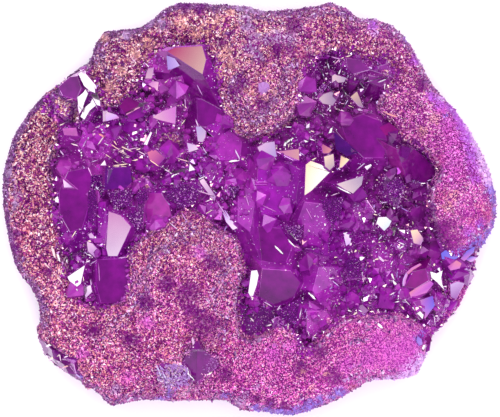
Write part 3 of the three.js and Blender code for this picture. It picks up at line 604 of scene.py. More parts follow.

# %% [markdown]
# ## The hollow's glassy crystals
# The crust is copied and its flat faces are made whole again. Each face gets a painted gradient of light:
# its violet brightens from one side to the other, as light does in thick quartz. The faces with a strong film
# are named by two places on the plan and the colours shown there; a ray straight down finds the face. Edges
# get a hair of bevel, and some go pale as a painted highlight.

# %% Colours of the glassy faces
QUARTZ_COLOURS = palette((162, 30, 176), (168, 37, 179), (174, 45, 182), (182, 55, 186), (192, 67, 192))
KNOB_COLOURS = palette((128, 18, 134), (136, 24, 140), (146, 32, 148), (160, 44, 160))
NOTCH_COLOURS = QUARTZ_COLOURS * 0.6
PALE_COLOURS = palette((255, 250, 252), (255, 232, 214), (214, 196, 236), (240, 180, 190))
# the colour of the pale edges: a painted highlight, on a film finish that also mirrors the lamps
EDGE_HIGHLIGHT_COLOUR = mixed(214, 160, 222)
WHITE = (252, 250, 254)
FACETS = [  # place and colour at one side, place and colour at the other, lamp
    ((178, 53), (170, 76, 112), (203, 66), (190, 152, 146), "warm"),
    ((150, 73), (186, 146, 182), (148, 80), (208, 172, 192), "lilac"),
    ((151, 85), (196, 120, 186), (157, 90), (226, 176, 200), "warm"),
    ((150, 98), WHITE, (146, 110), WHITE, "key"),
    ((107, 115), (202, 176, 198), (119, 118), (184, 142, 196), "lilac"),
    ((156, 119), (206, 162, 190), (172, 112), (196, 118, 196), "lilac"),
    ((198, 130), (172, 156, 206), (205, 138), (190, 170, 200), "lilac"),
    ((86, 79), WHITE, (98, 89), WHITE, "key"), ((96, 95), (250, 240, 240), (101, 105), WHITE, "key"),
    ((86, 88), WHITE, (83, 112), WHITE, "key"), ((88, 113), WHITE, (87, 121), WHITE, "key"),
    ((150, 153), (206, 112, 150), (162, 162), (150, 52, 142), "warm"),
    ((112, 216), (190, 138, 182), (118, 250), (202, 180, 206), "lilac"),
    ((92, 246), (214, 180, 214), (97, 255), (170, 120, 190), "lilac"),
    ((92, 235), (200, 160, 205), (97, 239), (220, 190, 225), "lilac"),
    ((67, 183), (236, 214, 240), (74, 187), (196, 160, 214), "lilac"),
    ((59, 197), WHITE, (59, 202), WHITE, "key"), ((85, 268), WHITE, (74, 279), WHITE, "key"),
    ((91, 286), (240, 226, 246), (88, 296), (206, 170, 214), "key"),
    ((104, 163), WHITE, (107, 165), (240, 226, 240), "key"),
    ((223, 211), (184, 146, 222), (235, 229), (244, 226, 248), "key"),
    ((201, 181), (232, 200, 226), (213, 198), (178, 138, 190), "key"),
    ((179, 177), (214, 186, 220), (190, 169), (250, 240, 250), "key"),
    ((192, 165), (240, 226, 240), (192, 170), WHITE, "key"),
    ((190, 146), (196, 170, 214), (196, 150), (214, 190, 214), "lilac"),
    ((148, 136), WHITE, (146, 144), WHITE, "key"),
    ((333, 80), (206, 178, 186), (343, 80), (168, 148, 174), "warm"),
    ((320, 100), (192, 168, 178), (334, 98), (150, 124, 160), "warm"),
    ((352, 100), (192, 162, 150), (360, 106), (150, 120, 150), "warm"),
    ((356, 111), (214, 186, 218), (361, 112), (196, 160, 206), "lilac"),
    ((262, 148), (202, 166, 206), (272, 152), (174, 150, 200), "lilac"),
    ((280, 155), (188, 108, 160), (296, 155), (196, 142, 150), "warm"),
    ((306, 166), (252, 224, 180), (322, 170), (250, 250, 236), "warm"),
    ((323, 146), (168, 84, 130), (330, 150), (202, 132, 140), "warm"),
    ((325, 158), (226, 206, 180), (331, 164), (188, 168, 170), "warm"),
    ((340, 158), (214, 178, 150), (346, 162), (238, 222, 178), "warm"),
    ((338, 188), (212, 192, 192), (360, 178), (168, 152, 174), "warm"),
    ((367, 166), WHITE, (369, 169), (226, 214, 240), "key"),
    ((380, 219), WHITE, (388, 226), (214, 236, 240), "key"),
    ((411, 234), (252, 216, 180), (419, 241), (188, 138, 180), "warm"),
    ((298, 337), WHITE, (303, 346), WHITE, "key"), ((255, 273), WHITE, (252, 294), WHITE, "key"),
    ((434, 276), WHITE, (439, 284), (226, 200, 236), "key"),
    ((453, 285), (196, 166, 216), (458, 294), (160, 110, 180), "lilac"),
    ((415, 313), WHITE, (420, 317), (226, 190, 214), "key"),
]
GLOWING_FACES = (mixed(186, 50, 174), [(160, 208), (152, 214), (398, 174), (66, 132)])
RED_FACES = (mixed(152, 12, 142), [(131, 106), (424, 262), (420, 272)])
DEEP_FACES = (mixed(106, 2, 138), [(343, 144), (121, 178), (93, 208)])
DARK_FACES = (mixed(130, 16, 136), [
    (361, 307), (366, 309), (360, 138), (113, 280), (190, 84), (200, 92), (196, 100), (212, 96), (72, 86),
    (78, 190), (80, 215), (275, 245), (272, 280), (205, 112), (414, 280), (418, 165), (374, 80), (64, 90),
    (390, 158), (404, 150), (352, 62), (378, 88), (300, 240), (416, 178), (440, 196),
])
SUGAR_BASE = mixed(124, 22, 138)
SUGARED_FACES = [
    (184, 197), (142, 208), (292, 232), (330, 212), (290, 310), (352, 268), (119, 199), (93, 208),
    (386, 190), (92, 103),
]
SPILLS = [
    (70, 112, 12), (60, 97, 9), (52, 120, 8), (92, 100, 4), (172, 143, 11), (160, 146, 6), (455, 291, 10),
    (140, 68, 5), (62, 90, 6), (306, 62, 5), (384, 74, 4), (330, 322, 6), (262, 222, 3), (346, 322, 6),
]
print("faces with a film of their own:", len(FACETS), "and with sugar:", len(SUGARED_FACES))

# %% [markdown]
# ## Busy and calm places
# The hollow isn't one texture: tangles of splinters lie beside broad quiet faces. Round areas on the plan
# say which is where, and every later step that scatters something asks them how likely it is to stay.

# %% Where the hollow is busy and where it is calm
CLEARED = [(418, 288, 17), (457, 258, 12), (90, 97, 15), (436, 279, 8), (452, 276, 6)]
SHADED = [(345, 92, 42), (400, 140, 46), (396, 196, 46), (432, 170, 36), (352, 140, 30), (430, 232, 26)]
SHADE = 0.5
BUSY = [
    (82, 98, 22), (130, 120, 36), (180, 128, 26), (150, 150, 26), (190, 165, 30), (140, 180, 22),
    (150, 80, 16), (225, 190, 20), (330, 90, 34), (310, 130, 22), (380, 210, 24), (380, 280, 34),
    (425, 290, 30), (450, 285, 20), (350, 310, 22), (265, 320, 20), (250, 300, 14), (310, 335, 14),
    (90, 250, 14), (62, 210, 12), (84, 292, 12), (400, 240, 20), (345, 240, 16), (270, 145, 12),
    (405, 200, 14), (415, 165, 16), (395, 300, 24), (370, 250, 24),
]
CALM = [
    (205, 95, 20), (113, 280, 20), (360, 138, 22), (76, 200, 16), (280, 195, 30), (265, 245, 22),
    (300, 285, 20), (120, 232, 12), (230, 140, 14), (312, 176, 14), (350, 184, 10), (192, 60, 16),
]


def busyness(places):
    """From 0 where large calm faces rule to 1 where the hollow is a tangle of small crystals."""
    return np.clip(0.2 + 0.8 * nearness(places, BUSY) - 0.9 * nearness(places, CALM), 0, 1)


def clearing(places):
    """From 1 where drops may land to 0 around the placed facets and where druse spills in."""
    return 1 - np.clip(1.4 * nearness(places, CLEARED + SPILLS, 4), 0, 1)


def shade(places):
    """The share of its light that each place of the hollow keeps."""
    return 1 - SHADE * nearness(places, SHADED)


def below(tree, x, y):
    """What a ray straight down from a place on the plan meets: point, direction, face number, length."""
    return tree.ray_cast(Vector((*on_plan(x, y), ABOVE_ALL)), DOWN)


print("busy places:", len(BUSY), "calm places:", len(CALM))

# %% [markdown]
# ## Colouring the crust
# The crust of large crystals gets its colours corner by corner, so that one face can run from dark to pale:
# a painted gradient of light.
# The finish of a face is a number, glass or film, which later picks one of the piece's two materials.

# %% Whole faces with a painted light gradient and a finish each
GLASS, FILM = 0, 1
LEAST_EDGE = 0.10 * MM
LARGE_FACE = 10 * MM * MM
LARGE_RANGE, SMALL_RANGE = 0.22, 0.28
QUARTZ_DRIFT = 16 * MM
# how far the painted light gradient brightens one side of a face and darkens the other
LIGHT_GRADIENT = 0.34
FILM_SHARE = 0.6
SCATTERED_FILM = 0.6  # how bright a scattered film is beside a placed one


def whole_faces(node):
    """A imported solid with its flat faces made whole."""
    shape = bmesh.new()
    shape.from_mesh(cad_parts[node].data)
    bmesh.ops.remove_doubles(shape, verts=shape.verts, dist=LEAST_EDGE)
    bmesh.ops.dissolve_limit(shape, angle_limit=math.radians(1.0), verts=shape.verts, edges=shape.edges)
    bmesh.ops.recalc_face_normals(shape, faces=shape.faces)
    shape.loops.layers.float_color.new("tint")
    shape.faces.ensure_lookup_table()
    return shape


def quartz_colour(place, area, colours, rng):
    """Large faces stay close to one purple; small ones range further."""
    range_of_face = LARGE_RANGE if area > LARGE_FACE else SMALL_RANGE
    drift = 0.5 + 0.6 * noise.noise(Vector(place) / QUARTZ_DRIFT) + range_of_face * (2 * rng.random() - 1)
    pick = int(np.clip(drift, 0, 0.999) * len(colours))
    return colours[pick] * (1 + 0.6 * range_of_face * (2 * rng.random() - 1)) * shade(np.array([place]))[0]


def with_light_gradient(face, tint, colour, rng):
    """A colour that brightens from one side of the face to the other: a painted gradient of light."""
    middle, direction = face.calc_center_median(), Vector(rng.normal(size=3)).normalized()
    reach = max((loop.vert.co - middle).length for loop in face.loops)
    for loop in face.loops:
        share = (loop.vert.co - middle).dot(direction) / reach
        loop[tint] = (*(colour * (1 + LIGHT_GRADIENT * share)), 1)


def graded(face, tint, start, first, end, second):
    """Two colours at two places on the plan, and all between them by the way along."""
    start, end = np.array(on_plan(*start)), np.array(on_plan(*end))
    way = end - start
    for loop in face.loops:
        share = np.clip((np.array(loop.vert.co[:2]) - start) @ way / (way @ way), -0.2, 1.2)
        loop[tint] = (*np.clip(first * (1 - share) + second * share, 0.002, 1), 1)


def coloured(shape, colours, rng):
    """Colours every face, then the named ones; gives a tree of the faces and the named ones' numbers."""
    tint = shape.loops.layers.float_color["tint"]
    for face in shape.faces:
        area, middle = face.calc_area(), face.calc_center_median()
        colour = quartz_colour(middle, area, colours, rng)
        caught = mirroring(np.array([middle]), np.array([face.normal]))[0]
        filmed = caught and area < LARGE_FACE and rng.random() < FILM_SHARE * busyness(np.array([middle]))[0]
        if filmed:
            colour = PALE_COLOURS[rng.integers(len(PALE_COLOURS))] * SCATTERED_FILM
        with_light_gradient(face, tint, colour, rng)
        face.material_index = FILM if filmed else GLASS
    tree = BVHTree.FromBMesh(shape)
    named = {}
    for start, first, end, second, lamp in FACETS:
        index = below(tree, (start[0] + end[0]) / 2, (start[1] + end[1]) / 2)[2]
        if index is not None and index not in named.values():
            graded(shape.faces[index], tint, start, film_for(first, lamp), end, film_for(second, lamp))
            shape.faces[index].material_index = FILM
            named[start] = index
    plain = [GLOWING_FACES, RED_FACES, DEEP_FACES, DARK_FACES, (SUGAR_BASE, SUGARED_FACES)]
    for colour, spot in [(colour, spot) for colour, spots in plain for spot in spots]:
        index = below(tree, *spot)[2]
        if index is not None and index not in named.values():
            with_light_gradient(shape.faces[index], tint, colour, rng)
            shape.faces[index].material_index = GLASS
            named[spot] = index
    return tree, named


GROUPS = {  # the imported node, then its piece's name, slot and colours
    "hollow_crystals": ("hollow_points", "glassy_quartz", QUARTZ_COLOURS),
    "knob_crystals": ("knob_points", "knob_quartz", KNOB_COLOURS),
    "notch_crystals": ("notch_points", "notch_quartz", NOTCH_COLOURS),
}
rng = np.random.default_rng(31)
shapes, trees, named = {}, {}, {}
for node_name, (_, _, colours) in GROUPS.items():
    shapes[node_name] = whole_faces(node_name)
    trees[node_name], named[node_name] = coloured(shapes[node_name], colours, rng)
crust_faces, named_faces = trees["hollow_crystals"], named["hollow_crystals"]
print("named faces found:", len(named_faces))

# %% [markdown]
# ## Edges
# No edge of a crystal is perfectly sharp, and a hair of bevel lets each one glint. A bevel modifier would
# give all of them one look. Here the new narrow faces are at hand, so some of them can be made pale: a
# painted highlight, on a film finish that also mirrors the lamps.

# %% Fine edges, and the finished piece
EDGE_WIDTH = 0.09 * MM
SHARP = math.radians(12)
CALM_EDGES, BUSY_EDGES = 0.06, 0.5  # the share of pale edges in calm places, and what busy ones add


def edged(shape, rng):
    """Bevels the sharp edges and paints some of them pale as a highlight, more of them where the hollow is
    busy.
    """
    tint = shape.loops.layers.float_color["tint"]
    sharp = [edge for edge in shape.edges if len(edge.link_faces) == 2 and edge.calc_face_angle() > SHARP]
    fine = bmesh.ops.bevel(
        shape, geom=sharp, offset=EDGE_WIDTH, segments=1, affect="EDGES", clamp_overlap=False
    )["faces"]
    middles = np.array([face.calc_center_median() for face in fine])
    for face, chance in zip(fine, CALM_EDGES + BUSY_EDGES * busyness(middles)):
        if rng.random() < chance:
            with_light_gradient(face, tint, EDGE_HIGHLIGHT_COLOUR, rng)
            face.material_index = FILM


def crystal_piece(name, shape, node=None):
    """A piece from a shape whose faces already have their colours and finishes."""
    mesh = bpy.data.meshes.new(name)
    mesh.materials.append(None)
    mesh.materials.append(None)
    shape.to_mesh(mesh)
    shape.free()
    mesh.vertices.foreach_set("co", np.clip(coordinates(mesh), BOX_LOW, BOX_HIGH).ravel())
    mesh.polygons.foreach_set("use_smooth", [False] * len(mesh.polygons))
    return on_the_slab(name, mesh, node)


print("the bevel is", round(EDGE_WIDTH / MM, 2), "mm wide")

# %% [markdown]
# ## Sugar on some of the glassy faces
# A few large faces are crusted with crystals too fine to see one by one: dark violet, with small glints.
# They are roofs like those of the druse, at half the size, spread over the named faces only.

# %% Sugared faces
SUGAR_SPACING = 0.36 * MM
SUGAR_REACH = 0.22 * MM
SUGAR_SIDES = 3
SUGAR_LEAN = 0.6
SUGAR_SINK = 0.04 * MM
GLINTS = 0.2
SUGAR_COLOURS = palette((92, 20, 104), (122, 38, 130), (150, 66, 150))
GLINT_COLOURS = palette((196, 146, 190), (220, 170, 196), (150, 124, 176), (240, 226, 240))


def only_faces(shape, indices):
    """A mesh of just some faces of a shape."""
    mesh = bpy.data.meshes.new("chosen_faces")
    corners, faces = [], []
    for index in indices:
        face = shape.faces[index]
        faces.append(list(range(len(corners), len(corners) + len(face.verts))))
        corners.extend(tuple(vert.co) for vert in face.verts)
    mesh.from_pydata(corners, [], faces)
    return mesh


def sugar_grains(places, normals, reach, stretch, plain, glints, share, rng):
    """Corners, faces and colours of the finest points, a share of whose faces glint."""
    reach = reach * (0.7 + 0.6 * rng.random(len(places)))
    corners, faces = roofs(places, leaned(normals, SUGAR_LEAN, rng), reach, reach, stretch, SUGAR_SIDES, rng)
    tints = plain[rng.integers(len(plain), size=len(faces))]
    glint = rng.random(len(faces)) < share
    tints[glint] = glints[rng.integers(len(glints), size=glint.sum())]
    return corners, faces, tints


sugared = sorted({named_faces[spot] for spot in SUGARED_FACES if spot in named_faces})
places, normals = scattered(only_faces(shapes["hollow_crystals"], sugared), SUGAR_SPACING, rng)
roots = places - normals * SUGAR_SINK
coat = sugar_grains(roots, normals, SUGAR_REACH, 1.2, SUGAR_COLOURS, GLINT_COLOURS, GLINTS, rng)
piece_from("sugared_faces", "glassy_quartz", *coat)

# %% [markdown]
# ## The groups as pieces
# The named faces had to keep their numbers until the sugar lay on them, and a bevel renumbers all faces. So
# it comes last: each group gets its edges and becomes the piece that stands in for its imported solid.

# %% The three groups of crystals, bevelled last
for node_name, (name, slot, _) in GROUPS.items():
    edged(shapes[node_name], rng)
    crystal_piece(name, shapes[node_name], node_name)

# %% [markdown]
# ## Points between the large ones
# A hollow never holds large crystals alone: hundreds of smaller points stand in the valleys and on the
# flanks. They are dropped straight down onto the crust, keep off the faces named above, and crowd where the
# stone is busy. A few dozen wide, low ones break up the calm part.

# %% Six-sided points, many in one mesh
POINT_SIDES = 6
POINT_CONTRAST = 0.4
SKEW, WIDE_SKEW = 0.35, 0.85  # how far a tip stands off its axis


def quartz_points(places, axes, reach, heights, rng, skew):
    """Corners and faces of many uneven six-sided prisms with slanting tips, sunk at their roots."""
    count = len(places)
    first, second = side_axes(axes)
    start, uneven = rng.random((count, 1)), 0.3 * rng.random((count, POINT_SIDES))
    turn = 2 * math.pi * (start + (np.arange(POINT_SIDES) + uneven) / POINT_SIDES)
    reach = reach[:, None] * (0.8 + 0.4 * rng.random((count, POINT_SIDES)))
    out = np.cos(turn)[:, :, None] * first[:, None] + np.sin(turn)[:, :, None] * second[:, None]
    up = axes[:, None]
    roots = places[:, None] - 0.3 * heights[:, None, None] * up + reach[:, :, None] * out
    shoulder = heights[:, None] * (0.25 + 0.4 * rng.random((count, POINT_SIDES)))
    shoulders = places[:, None] + shoulder[:, :, None] * up + 0.93 * reach[:, :, None] * out
    shift = skew * reach.mean(axis=1)[:, None] * (2 * rng.random((count, 2)) - 1)
    tips = places + axes * heights[:, None] + shift[:, :1] * first + shift[:, 1:] * second
    corners = np.concatenate([roots, shoulders, tips[:, None]], axis=1).reshape(-1, 3)
    faces = []
    for start in range(0, count * (2 * POINT_SIDES + 1), 2 * POINT_SIDES + 1):
        for side in range(POINT_SIDES):
            after = (side + 1) % POINT_SIDES
            a, b = start + side, start + after
            faces.append((a, b, b + POINT_SIDES, a + POINT_SIDES))
            faces.append((a + POINT_SIDES, b + POINT_SIDES, start + 2 * POINT_SIDES))
    return corners, faces


def face_directions(corners, faces):
    """The middle and the direction of each face."""
    first = np.array([corners[list(face[:3])] for face in faces])
    return first.mean(axis=1), unit(np.cross(first[:, 1] - first[:, 0], first[:, 2] - first[:, 0]))


def point_tints(places, corners, faces, rng, mirrors):
    """Colour and finish of the faces of points: the quartz's own, or pale film where they mirror a lamp."""
    count, each = len(places), 2 * POINT_SIDES
    drift = 0.5 + 0.6 * cloud(places, QUARTZ_DRIFT)[:, None]
    pick = np.clip(drift + 0.3 * (2 * rng.random((count, each)) - 1), 0, 0.999) * len(QUARTZ_COLOURS)
    light = 1.0 + POINT_CONTRAST * (rng.random((count * each, 1)) - 0.5)
    tints = QUARTZ_COLOURS[pick.astype(int).ravel()] * light
    tints *= np.repeat(shade(places), each)[:, None]
    finish = mirroring(*face_directions(corners, faces)) & (rng.random(count * each) < mirrors)
    tints[finish] = PALE_COLOURS[rng.integers(len(PALE_COLOURS), size=finish.sum())]
    return np.clip(tints, 0, 1), finish


def points_piece(name, slot, places, axes, reach, heights, mirrors, rng, sink=0, skew=SKEW):
    """A piece of points; of the faces that mirror a lamp, the share called mirrors gets a film."""
    corners, faces = quartz_points(places - axes * sink, axes, reach, heights, rng, skew)
    piece_from(name, slot, corners, faces, *point_tints(places, corners, faces, rng, mirrors))


print("faces of one point:", 2 * POINT_SIDES)

# %% Drop the points into the hollow
DROPS = 8200
WIDE_DROPS = 240
WIDE_SINK = 0.5 * MM
NAMED_REACH = 9
rng = np.random.default_rng(47)


def over_hollow(count, rng):
    """Spots of the plan in a rectangle over the hollow."""
    return np.column_stack([rng.uniform(40, 478, count), rng.uniform(45, 352, count)])


def dropped(spots, rng, crowding, tree=crust_faces):
    """Places and directions of things that fall straight down at some spots of the plan and stay."""
    sites = np.array([[*on_plan(x, y), 0] for x, y in spots])
    kept = []
    reserved = set(named_faces.values()) if tree is crust_faces else set()
    for (x, y), luck, share in zip(spots, rng.random(len(spots)), crowding(sites)):
        place, normal, index, _ = below(tree, x, y)
        if place is not None and index not in reserved and luck < share:
            kept.append((*place, *normal))
    kept = np.array(kept)
    return kept[:, :3], kept[:, 3:]


def crowded(places):
    """The chance of a small thing to stay at each place."""
    return busyness(places) * clearing(places)


def away_from_names(places):
    """The chance of a wide point to stay: none near the named faces, a good one elsewhere."""
    spots = [(x, y, NAMED_REACH) for x, y in named_faces]
    return np.where(nearness(places, spots) > 0.3, 0.0, 0.8) * clearing(places)


places, normals = dropped(over_hollow(WIDE_DROPS, rng), rng, away_from_names)
reach = MM * (1.2 + 1.9 * rng.random(len(places)))
axes = leaned(unit(normals + [0, 0, 0.8]), 0.55, rng)
heights = reach * (0.7 + 0.5 * rng.random(len(places)))
points_piece("wide_points", "glassy_quartz", places, axes, reach, heights, 0, rng, WIDE_SINK, WIDE_SKEW)

places, normals = dropped(over_hollow(DROPS, rng), rng, crowded)
reach = MM * (0.2 + 0.95 * rng.random(len(places)) ** 2.6)
heights = reach * (1.1 + 1.2 * rng.random(len(places)))
axes = leaned(unit(normals + [0, 0, 0.6]), 0.8, rng)
points_piece("small_points", "glassy_quartz", places, axes, reach, heights, 0.6, rng)

# %% [markdown]
# ## Specks
# Between the points lie crystals of a tenth of a millimetre, seen only as specks of light and dark. They are
# the same low roofs as the druse, in tens of thousands of drops, so each is kept as small as can be: three
# faces. They take the dull finish of the druse, so their palest colours are painted glints.

# %% Specks: roofs too small for a finish of their own
SPECKS = 42000
SPECK_SIDES = 3
# the pale entries are painted glints; the dark and violet ones are the specks' own colours
SPECK_AND_GLINT_COLOURS = palette(
    (84, 14, 100), (110, 26, 122), (170, 84, 176), (196, 120, 196), (222, 172, 214), (214, 190, 240),
    (246, 222, 232), (255, 250, 255), (226, 150, 150),
)


def speck_chance(places):
    """The chance of a speck to stay at each place."""
    return (0.16 + 0.6 * busyness(places)) * clearing(places)


places, normals = dropped(over_hollow(SPECKS, rng), rng, speck_chance)
reach = MM * (0.07 + 0.15 * rng.random(len(places)) ** 1.6)
corners, faces = roofs(places, leaned(normals, 0.7, rng), reach, reach, 1.5, SPECK_SIDES, rng)
pick = rng.random((len(places), 1)) * 0.5 + 0.5 * rng.random((len(places), SPECK_SIDES))
tints = SPECK_AND_GLINT_COLOURS[(pick.ravel() * len(SPECK_AND_GLINT_COLOURS)).astype(int)]
piece_from("specks", "glassy_quartz", corners, faces, tints)

# %% [markdown]
# ## Frost and druse on the crystals
# Druse doesn't stop at a line. It frosts one flank of the smooth crystal in the lower lobe and spreads in
# islands over the crust. Both are dropped on like the points, and a list of round areas says where they
# stay.

# %% A frosted flank on the knob
FROST_COLOURS = palette((150, 84, 160), (178, 120, 190), (204, 156, 212), (140, 60, 150))
FROSTED = [(214, 359, 6), (210, 366, 5), (184, 359, 3), (190, 350, 3)]
KNOB = "knob_crystals"
FROST_AREA, FROST_DENSITY = [(200, 360, 26)], 3


def around(areas, thickness, rng):
    """Spots of the plan in squares around some areas."""
    spots = []
    for x, y, reach in areas:
        count = int(thickness * reach * reach)
        across = rng.uniform(x - reach, x + reach, count)
        spots.append(np.column_stack([across, rng.uniform(y - reach, y + reach, count)]))
    return np.vstack(spots)


def frosting(places):
    """The chance of frost to stay at each place."""
    return nearness(places, FROSTED) * 0.9


places, normals = dropped(around(FROST_AREA, FROST_DENSITY, rng), rng, frosting, trees[KNOB])
reach = MM * (0.1 + 0.14 * rng.random(len(places)))
corners, faces = roofs(places, leaned(normals, 0.6, rng), reach, reach * 0.7, 1.5, SPECK_SIDES, rng)
tints = FROST_COLOURS[rng.integers(len(FROST_COLOURS), size=len(faces))]
piece_from("knob_frost", "knob_quartz", corners, faces, tints)

# %% Druse that spreads over the glassy crystals
KNOB_CLEAN = [
    (199, 352, 9), (196, 362, 10), (206, 361, 11), (197, 375, 7), (213, 362, 8), (199, 343, 5),
    (190, 360, 8), (168, 370, 11), (180, 374, 11),
]
KNOB_AREA = [(188, 365, 42)]
SPILL_DENSITY, KNOB_DENSITY = 2.4, 3.2


def spilling(places):
    """The chance of druse to stay on the crust."""
    return nearness(strayed(places), SPILLS, PATCH_EDGE)


def off_the_knob(places):
    """The chance of druse to stay beside the smooth crystal."""
    return np.where(nearness(places, KNOB_CLEAN, 4) > 0.45, 0.0, 1.0)


in_hollow = dropped(around(SPILLS, SPILL_DENSITY, rng), rng, spilling)
on_knob = dropped(around(KNOB_AREA, KNOB_DENSITY, rng), rng, off_the_knob, trees[KNOB])
places, normals = np.vstack([in_hollow[0], on_knob[0]]), np.vstack([in_hollow[1], on_knob[1]])
spill_layer = dict(reach=0.24, lift=0.04, sides=3, stretch=1.4, lean=0.6, middle=0.47, rise=0.13)
grains("druse_spill", spill_layer, places, normals, rng)
